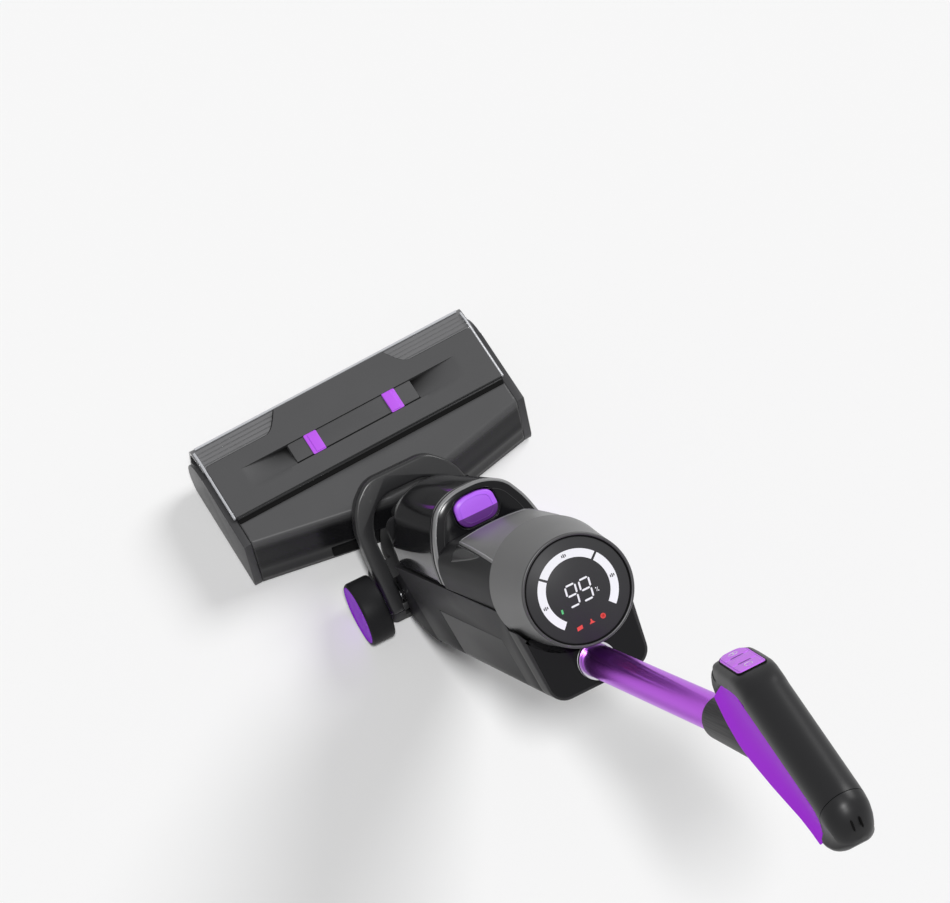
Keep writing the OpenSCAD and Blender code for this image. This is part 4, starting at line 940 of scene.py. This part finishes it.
def makeDigits():
    # a digit is a set of bars between two corners, given as shares of its width and height, with pointed ends
    size = digitSettings
    bars = [((0, 1), (1, 1)), ((0, 1), (0, 0.5)), ((0, 0.5), (1, 0.5)), ((1, 1), (1, 0.5)),
            ((1, 0.5), (1, 0)), ((0, 0), (1, 0))]
    offset = size["gap"] / 2
    for digit, left in ((1, size["shift"] - size["width"] - offset), (2, size["shift"] + offset)):
        for number, bar in enumerate(bars, 1):
            start, stop = np.array(bar) * (size["width"], size["height"])
            along = (stop - start) / np.linalg.norm(stop - start)
            start, stop = start + along * size["trim"], stop - along * size["trim"]
            cut = along * size["stroke"] / 2
            side = np.array([-cut[1], cut[0]])
            line = np.array([start, start + cut + side, stop - cut + side, stop, stop - cut - side,
                             start + cut - side])
            line[:, 0] += left + size["lean"] * line[:, 1]
            line[:, 1] += size["bottom"]
            flatPlate(f"digit{digit}Bar{number}", line, "displayWhite")


def makeSigns():  # small plain signs between and below the arcs
    discPlate("percentUpper", (13.6, -4.4), 0.5, "displayWhite")
    discPlate("percentLower", (15.2, -7.2), 0.5, "displayWhite")
    flatPlate("percentSlash", [(15.1, -4.2), (15.5, -4.4), (13.7, -7.4), (13.3, -7.2)], "displayWhite")
    flatPlate("statusMark", [(-19.8, -12.0), (-18.2, -12.0), (-17.8, -8.6), (-19.4, -8.6)], "displayGreen")
    flatPlate("tankMark", [(-13.6, -30.0), (-8.6, -29.4), (-8.2, -26.4), (-13.2, -27.0)], "displayRed")
    flatPlate("dropMark", [(-2.6, -29.0), (2.6, -29.0), (0.9, -27.4), (0.4, -25.4), (-0.4, -25.4),
                           (-0.9, -27.4)], "displayRed")
    roller, turn = (10.2, -27.4), np.linspace(0, 360, 28)
    flatPlate("rollerMark", np.concatenate([onCircle(2.2, turn), onCircle(1.5, turn[::-1])]) + roller,
              "displayRed")
    discPlate("rollerMarkHeart", roller, 0.7, "displayRed")


makeHousing()
makeArcs()
makeDigits()
makeSigns()
print("display ready")

# tube and handle
tubeSettings = dict(rear=-18.5, radius=13.7, inner=12.4, foot=430.0, top=840.0)


def tubePlace(across, ahead, up):  # measured from the tube's middle
    return leanPlace(across, tubeSettings["rear"] + ahead, up)


def makeTube():
    # turned profiles: a plain hollow tube, and a ring with a groove round its middle
    size = tubeSettings
    outer = [(size["radius"], up) for up in np.linspace(size["foot"], size["top"], 12)]
    inner = [(size["inner"], size["top"]), (size["inner"], size["foot"])]
    lathe("tube", outer + inner, tubePlace, "purpleTube", "upright", ("tube",), sharp=40)
    ring = [(13.9, 480.2), (15.6, 480.2), (16.0, 480.7), (16.0, 483.6), (15.4, 484.0), (15.4, 484.6),
            (16.0, 485.0), (16.0, 487.4), (15.6, 488.1), (13.9, 488.1)]
    lathe("tubeRing", ring, tubePlace, "silverTrim", "upright", ("tube_ring",), sharp=30)


# the grip in its own frame: pairs of the distance along it and the height above or below its middle line
gripPlace = tiltedPlace(-10.0, 977.0, 45.0)
gripSettings = dict(half=17.5, flare=5.5, depth=52.0, seam=61.0, hollow=2.2, cap=17.5, corner=7.0)
linerSettings = dict(rear=-82, front=64, depth=0.9, thick=1.6, proud=0.15, sink=0.35)
gripTop = [(-95, -22), (-94.4, -18.5), (-93, -14.8), (-90, -10.9), (-85, -6.9), (-75.9, 0.3), (-66, 8.2),
           (-60, 12.9), (-55, 16.2), (-49, 18.6), (-43, 19.7), (-36, 20), (56, 20), (62, 19.4), (68, 17.6),
           (74, 13.8), (79, 9), (83, 2.5), (85, -8)]
gripBottom = [(-95, -25), (-94.4, -29), (-92.5, -33), (-88, -37), (-80, -41), (-62, -48), (-44, -51.6),
              (-30, -50.4), (0, -44.0), (38, -33.4), (52, -31.4), (63, -31), (70, -29.4), (76, -26),
              (81, -20.5), (84, -14), (85, -9)]
linerEdge = [(-82, -39), (-79, -26), (-74, -12), (-68, -4), (-61, 0), (50, 0), (54, -1.5), (58, -6),
             (61.5, -14), (63.5, -24), (64, -31)]
# and of the distance along it and a share of its full width, or the power of its cap's curve
gripWidth = [(-95, 0.50), (-94.6, 0.64), (-93.4, 0.78), (-91, 0.88), (-87, 0.95), (-80, 0.99), (-70, 1.0),
             (62, 1.0), (68, 0.985), (74, 0.92), (78, 0.83), (81, 0.70), (83, 0.55), (84.4, 0.34), (85, 0.06)]
gripSquare = [(-90, 5.5), (-62, 4.8), (-50, 3.0), (-38, 2.2), (60, 2.0), (85, 2.0)]


def readAt(table, u):  # straight lines between a table's pairs
    return np.interp(u, *np.array(table).T)


def smoothCurve(table, u):  # a table's values, eased by a weighted mean over a few millimetres
    weights = ((-2, 0.12), (-1, 0.23), (0, 0.30), (1, 0.23), (2, 0.12))
    return sum(weight * readAt(table, u + offset) for offset, weight in weights)


def gripHalf(y, u):
    # half the grip's width at its flank: it flares evenly with depth, less a power of a sine that hollows it
    size = gripSettings
    share = np.clip(-y / np.maximum(-smoothCurve(gripBottom, u), 1.0), 0, 1)
    flare = size["flare"] * np.clip(-y, 0, None) / size["depth"]
    return size["half"] + flare - size["hollow"] * np.sin(math.pi * share) ** 1.2


def gripSection(u):
    # half a section from the top down, then mirrored: a superellipse cap, the flank, a quarter-circle corner
    size, liner = gripSettings, linerSettings
    top, low = smoothCurve(gripTop, u), smoothCurve(gripBottom, u)
    cap, corner = min(size["cap"], 0.55 * (top - low)), min(size["corner"], 0.3 * (top - low))
    power = 2 / readAt(gripSquare, u)
    turn = np.linspace(0, math.pi / 2, 16)
    capX, capY = size["half"] * np.sin(turn) ** power, top - cap * (1 - np.cos(turn) ** power)
    flankY = np.linspace(top - cap, low + corner, 22)[1:]
    underLiner = (flankY < readAt(linerEdge, u) - 0.01) & (liner["rear"] < u < liner["front"])
    flankX = gripHalf(flankY, u) - np.where(underLiner, liner["depth"], 0.0)
    turn = np.linspace(0, math.pi / 2, 6)[1:]
    cornerX, cornerY = flankX[-1] - corner * (1 - np.cos(turn)), low + corner * (1 - np.sin(turn))
    x = np.concatenate([capX, flankX, cornerX, [0.0]]) * readAt(gripWidth, u)
    y = np.concatenate([capY, flankY, cornerY, [low]])
    return np.concatenate([np.stack([x, y], -1), np.stack([-x, y], -1)[-2:0:-1]])


def gripLoft(name, stations, standsFor):  # the grip's section at each distance along it, joined up
    rings = np.stack([gripPlace(*gripSection(u).T, u) for u in stations])
    ringSolid(name, rings, "gripBlack", "upright", standsFor, 42)


def makeGrip():
    # the sections stacked along the grip, closer together at its ends, in two pieces that meet at the seam
    seam = gripSettings["seam"]
    gripLoft("gripShell", [-94.95, -94.7, -94.3, -93.7, -92.9, -91.8, -90.4, -88.6, -86.5,
                           *np.linspace(-84, -36, 30), *np.linspace(-32, 56, 23), 59, seam - 0.25],
             ("grip_shell",))
    gripLoft("gripEnd", [seam + 0.25, *np.linspace(62, 80, 14), 81.2, 82.3, 83.2, 83.9, 84.4, 84.75, 84.95],
             ("grip_end_cap",))


def makeLiners():
    # a sheet on each flank, from just under the liner's edge to just above the bottom, with its rim sunk in
    size = linerSettings
    u = np.concatenate([np.linspace(-81.6, -60, 22), np.linspace(-56, 48, 30), np.linspace(50, 63.6, 14)])
    share = np.concatenate([[0.0, 0.012, 0.03], np.linspace(0.06, 0.94, 24), [0.97, 0.988, 1.0]])
    high = readAt(linerEdge, u) - 0.5
    low = np.minimum(smoothCurve(gripBottom, u) + 2.6, high - 0.3)
    u, high, low = u[:, None], high[:, None], low[:, None]
    y = high + (low - high) * share
    rim = np.minimum(1.0, np.minimum(share, 1 - share) / 0.03)
    row = np.arange(len(u))[:, None]
    ends = np.minimum(1.0, np.minimum(row, row[::-1]) / 2.0)
    x = (gripHalf(y, u) + size["proud"] * rim * ends - size["sink"]) * readAt(gripWidth, u)
    for side, label in bothSides:
        top, under = gripPlace(side * x, y, u), gripPlace(side * (x - size["thick"]), y, u)
        sheetSolid("gripLiner" + label, top, under, "linerPurple", "upright",
                   ("grip_liner",) if side < 0 else (), 45)


def makeStrapSlots():  # the small loop moulded into the grip's end
    out, along = sampled([(4.0, 83.2), (7.5, 80.9), (10.6, 77.9)], 8).T + 0.1
    for side, label in bothSides:
        points = gripPlace(side * 3.2, out, along)
        beadAlong("strapSlot" + label, points, sideways, 0.8, "gasketBlack", "upright")


keySettings = dict(pitch=14.6, halfWidth=9.6, halfLength=6.9, low=-2.4, high=0.85, rim=0.45, gap=0.15,
                   sign=0.86)
panelPlace = tiltedPlace(44.3, 924.0, 6.7)


def keyPlace(across, along, out):  # on the key panel, then out of it
    return panelPlace(across, out, along)


keyFace = keyPlace(0, 0, 1) - keyPlace(0, 0, 0)
keyFace = keyFace / np.linalg.norm(keyFace)


def cutWells(pieces, cutters):  # real openings, so that what moves in them meets nothing
    for piece in pieces:
        for cutter in cutters:
            cut = piece.modifiers.new("well", "BOOLEAN")
            cut.object = cutter
            cut.solver = "EXACT"
        shaped = bpy.data.meshes.new_from_object(piece.evaluated_get(bpy.context.evaluated_depsgraph_get()))
        piece.modifiers.clear()
        piece.data = shaped
    for cutter in cutters:
        bpy.data.objects.remove(cutter)


def makeKeys():
    # a bed in a thin black rim, its low end rounder than its high end, and a well round each key's outline
    size = keySettings
    rim = roundedLoop(rectangle(-12.0, 12.0, -22.9, 22.9), [10.5, 10.5, 4, 4], 10)
    panel = roundedSlab("keyPanel", rim, -8.8, 0.2, 0.6, keyPlace, "gasketBlack", "upright",
                        ("control_panel",))
    inner = roundedLoop(rectangle(-11.2, 11.2, -22.1, 22.1), [9.7, 9.7, 3.2, 3.2], 10)
    bed = roundedSlab("keyBed", inner, -3.0, 0.45, 0.5, keyPlace, "keyPurple", "upright")
    wells = []
    for label, node, step, radii in (("low", "key_low", -1, [8.2, 8.2, 0.8, 0.8]),
                                     ("middle", "key_mid", 0, 0.8),
                                     ("high", "key_high", 1, [0.8, 0.8, 2.4, 2.4])):
        middle, wide, deep = step * size["pitch"], size["halfWidth"], size["halfLength"]
        loop = roundedLoop(rectangle(-wide, wide, middle - deep, middle + deep), radii, 8)
        roundedSlab(label + "Key", loop, size["low"], size["high"], size["rim"], keyPlace, "keyPurple",
                    label + "_key", (node,))
        around = inset(evenLoop(counterClockwise(loop), 120), -size["gap"]).T
        rings = np.stack([keyPlace(*around, level) for level in (-4.6, 3.0)])
        wells.append(ringSolid("well", rings, "gasketBlack", None))
    cutWells([panel, bed], wells)


def makeKeySigns():
    # raised lines between the keys, a power sign on the high key and a drop in an oval on the low key
    size = keySettings
    across = np.linspace(-5.2, 5.2, 12)
    for side, label in ((-1, "Low"), (1, "High")):
        points = keyPlace(across, side * size["pitch"] / 2, 0.72)
        beadAlong("keyLine" + label, points, keyFace, 0.42, "buttonDark", "upright")
    turn, middle, out = np.radians(np.linspace(35, 325, 30)), size["pitch"], size["sign"]
    ring = keyPlace(2.9 * np.sin(turn), middle + 2.9 * np.cos(turn), out)
    beadAlong("powerRing", ring, keyFace, 0.3, "iconPale", "high_key")
    stroke = keyPlace(0, middle + np.linspace(0.8, 3.8, 6), out)
    beadAlong("powerStroke", stroke, keyFace, 0.3, "iconPale", "high_key")
    turn = np.radians(np.linspace(0, 360, 36))
    oval = keyPlace(3.3 * np.sin(turn), 2.4 * np.cos(turn) - middle, out)
    beadAlong("dropRing", oval, keyFace, 0.28, "iconPale", "low_key", taper=False)
    drop = np.array([(0, 1.7), (0.9, 0.2), (1.0, -0.6), (0.5, -1.3), (-0.5, -1.3), (-1.0, -0.6), (-0.9, 0.2)])
    x, y = drop.T
    rings = np.stack([keyPlace(x * scale, y * scale - middle, level)
                      for scale, level in ((1, 0.8), (1, 1.0), (0.7, 1.1))])
    ringSolid("dropSign", rings, "iconPale", "low_key", sharp=30)


makeTube()
softened("handle_collar", 0.8, angle=40)
makeGrip()
makeLiners()
makeStrapSlots()
makeKeys()
makeKeySigns()
print("tube and handle ready")

# floor, light and camera
stageSettings = dict(floorColor=(0.92, 0.92, 0.92), floorHalf=6.0, worldLight=0.15, worldShown=0.91)
lampSettings = {  # strength, softness in degrees, and how far it leans across and up from the camera's side
    "key": dict(strength=1.84, soft=7.0, across=0.04, up=0.12),
    "side": dict(strength=1.38, soft=26.0, across=1.2, up=2.2),
}
cameraSettings = dict(azimuth=30.76, elevation=65.09, distance=3592.0, across=-105.5, up=30.3,
                      aim=(7.3, 39.8, 66.0), lens=146.3)


def makeFloor():  # a wide pale square on the ground
    half = stageSettings["floorHalf"]
    mesh = bpy.data.meshes.new("paleFloor")
    mesh.from_pydata([(x, y, 0) for x, y in rectangle(-half, half, -half, half)], [], [(0, 1, 2, 3)])
    material = bpy.data.materials.new("paleFloor")
    material.use_nodes = True
    plug(material.node_tree, material.node_tree.nodes["Principled BSDF"], {
        "Base Color": (*stageSettings["floorColor"], 1.0), "Roughness": 0.9})
    mesh.materials.append(material)
    addObject("paleFloor", mesh)


def makeWorld():
    # seen directly, mirrored or through glass it is as pale as the floor, while it lights the object less:
    # its strength is worldLight, plus the difference to worldShown for those three kinds of ray
    world = bpy.data.worlds.new("studio")
    bpy.context.scene.world = world
    world.use_nodes = True
    tree, light = world.node_tree, stageSettings["worldLight"]
    ray = tree.nodes.new("ShaderNodeLightPath").outputs
    seen = addNode(tree, "ShaderNodeMath", {0: ray["Is Camera Ray"], 1: ray["Is Glossy Ray"]},
                   operation="ADD")
    shown = addNode(tree, "ShaderNodeMath", {0: seen.outputs[0], 1: ray["Is Transmission Ray"]},
                    operation="ADD", use_clamp=True)
    level = addNode(tree, "ShaderNodeMath", {
        0: shown.outputs[0], 1: stageSettings["worldShown"] - light, 2: light}, operation="MULTIPLY_ADD")
    plug(tree, tree.nodes["Background"], {"Color": (1, 1, 1, 1), "Strength": level.outputs[0]})


def viewAxes():  # from the object to the camera, then the picture's right and up
    turn = math.radians(cameraSettings["azimuth"])
    tilt = math.radians(cameraSettings["elevation"])
    away = np.array([-math.sin(turn) * math.cos(tilt), -math.cos(turn) * math.cos(tilt), math.sin(tilt)])
    right = np.array([math.cos(turn), -math.sin(turn), 0.0])
    return away, right, np.cross(away, right)


def makeLamp(name, strength, soft, across, up):  # a wide, even lamp far away
    away, right, above = viewAxes()
    data = bpy.data.lights.new(name, "SUN")
    data.energy = strength
    data.angle = math.radians(soft)
    towards = Vector(away + across * right + up * above)
    addObject(name, data).rotation_euler = towards.to_track_quat("Z", "Y").to_euler()


def makeCamera():
    # back from the aimed-at point by the distance, and aside by the two shifts
    size = cameraSettings
    away, right, above = viewAxes()
    data = bpy.data.cameras.new("camera")
    data.sensor_width = 36.0
    data.lens = size["lens"]
    data.clip_end = 50.0
    camera = addObject("camera", data)
    shift = size["distance"] * away - size["across"] * right - size["up"] * above
    camera.location = Vector((np.array(size["aim"]) + shift) * mm)
    camera.rotation_euler = Vector(away).to_track_quat("Z", "Y").to_euler()
    bpy.context.scene.camera = camera


makeFloor()
makeWorld()
for name, values in lampSettings.items():
    makeLamp(name, **values)
makeCamera()
bpy.context.scene.view_settings.view_transform = "Standard"
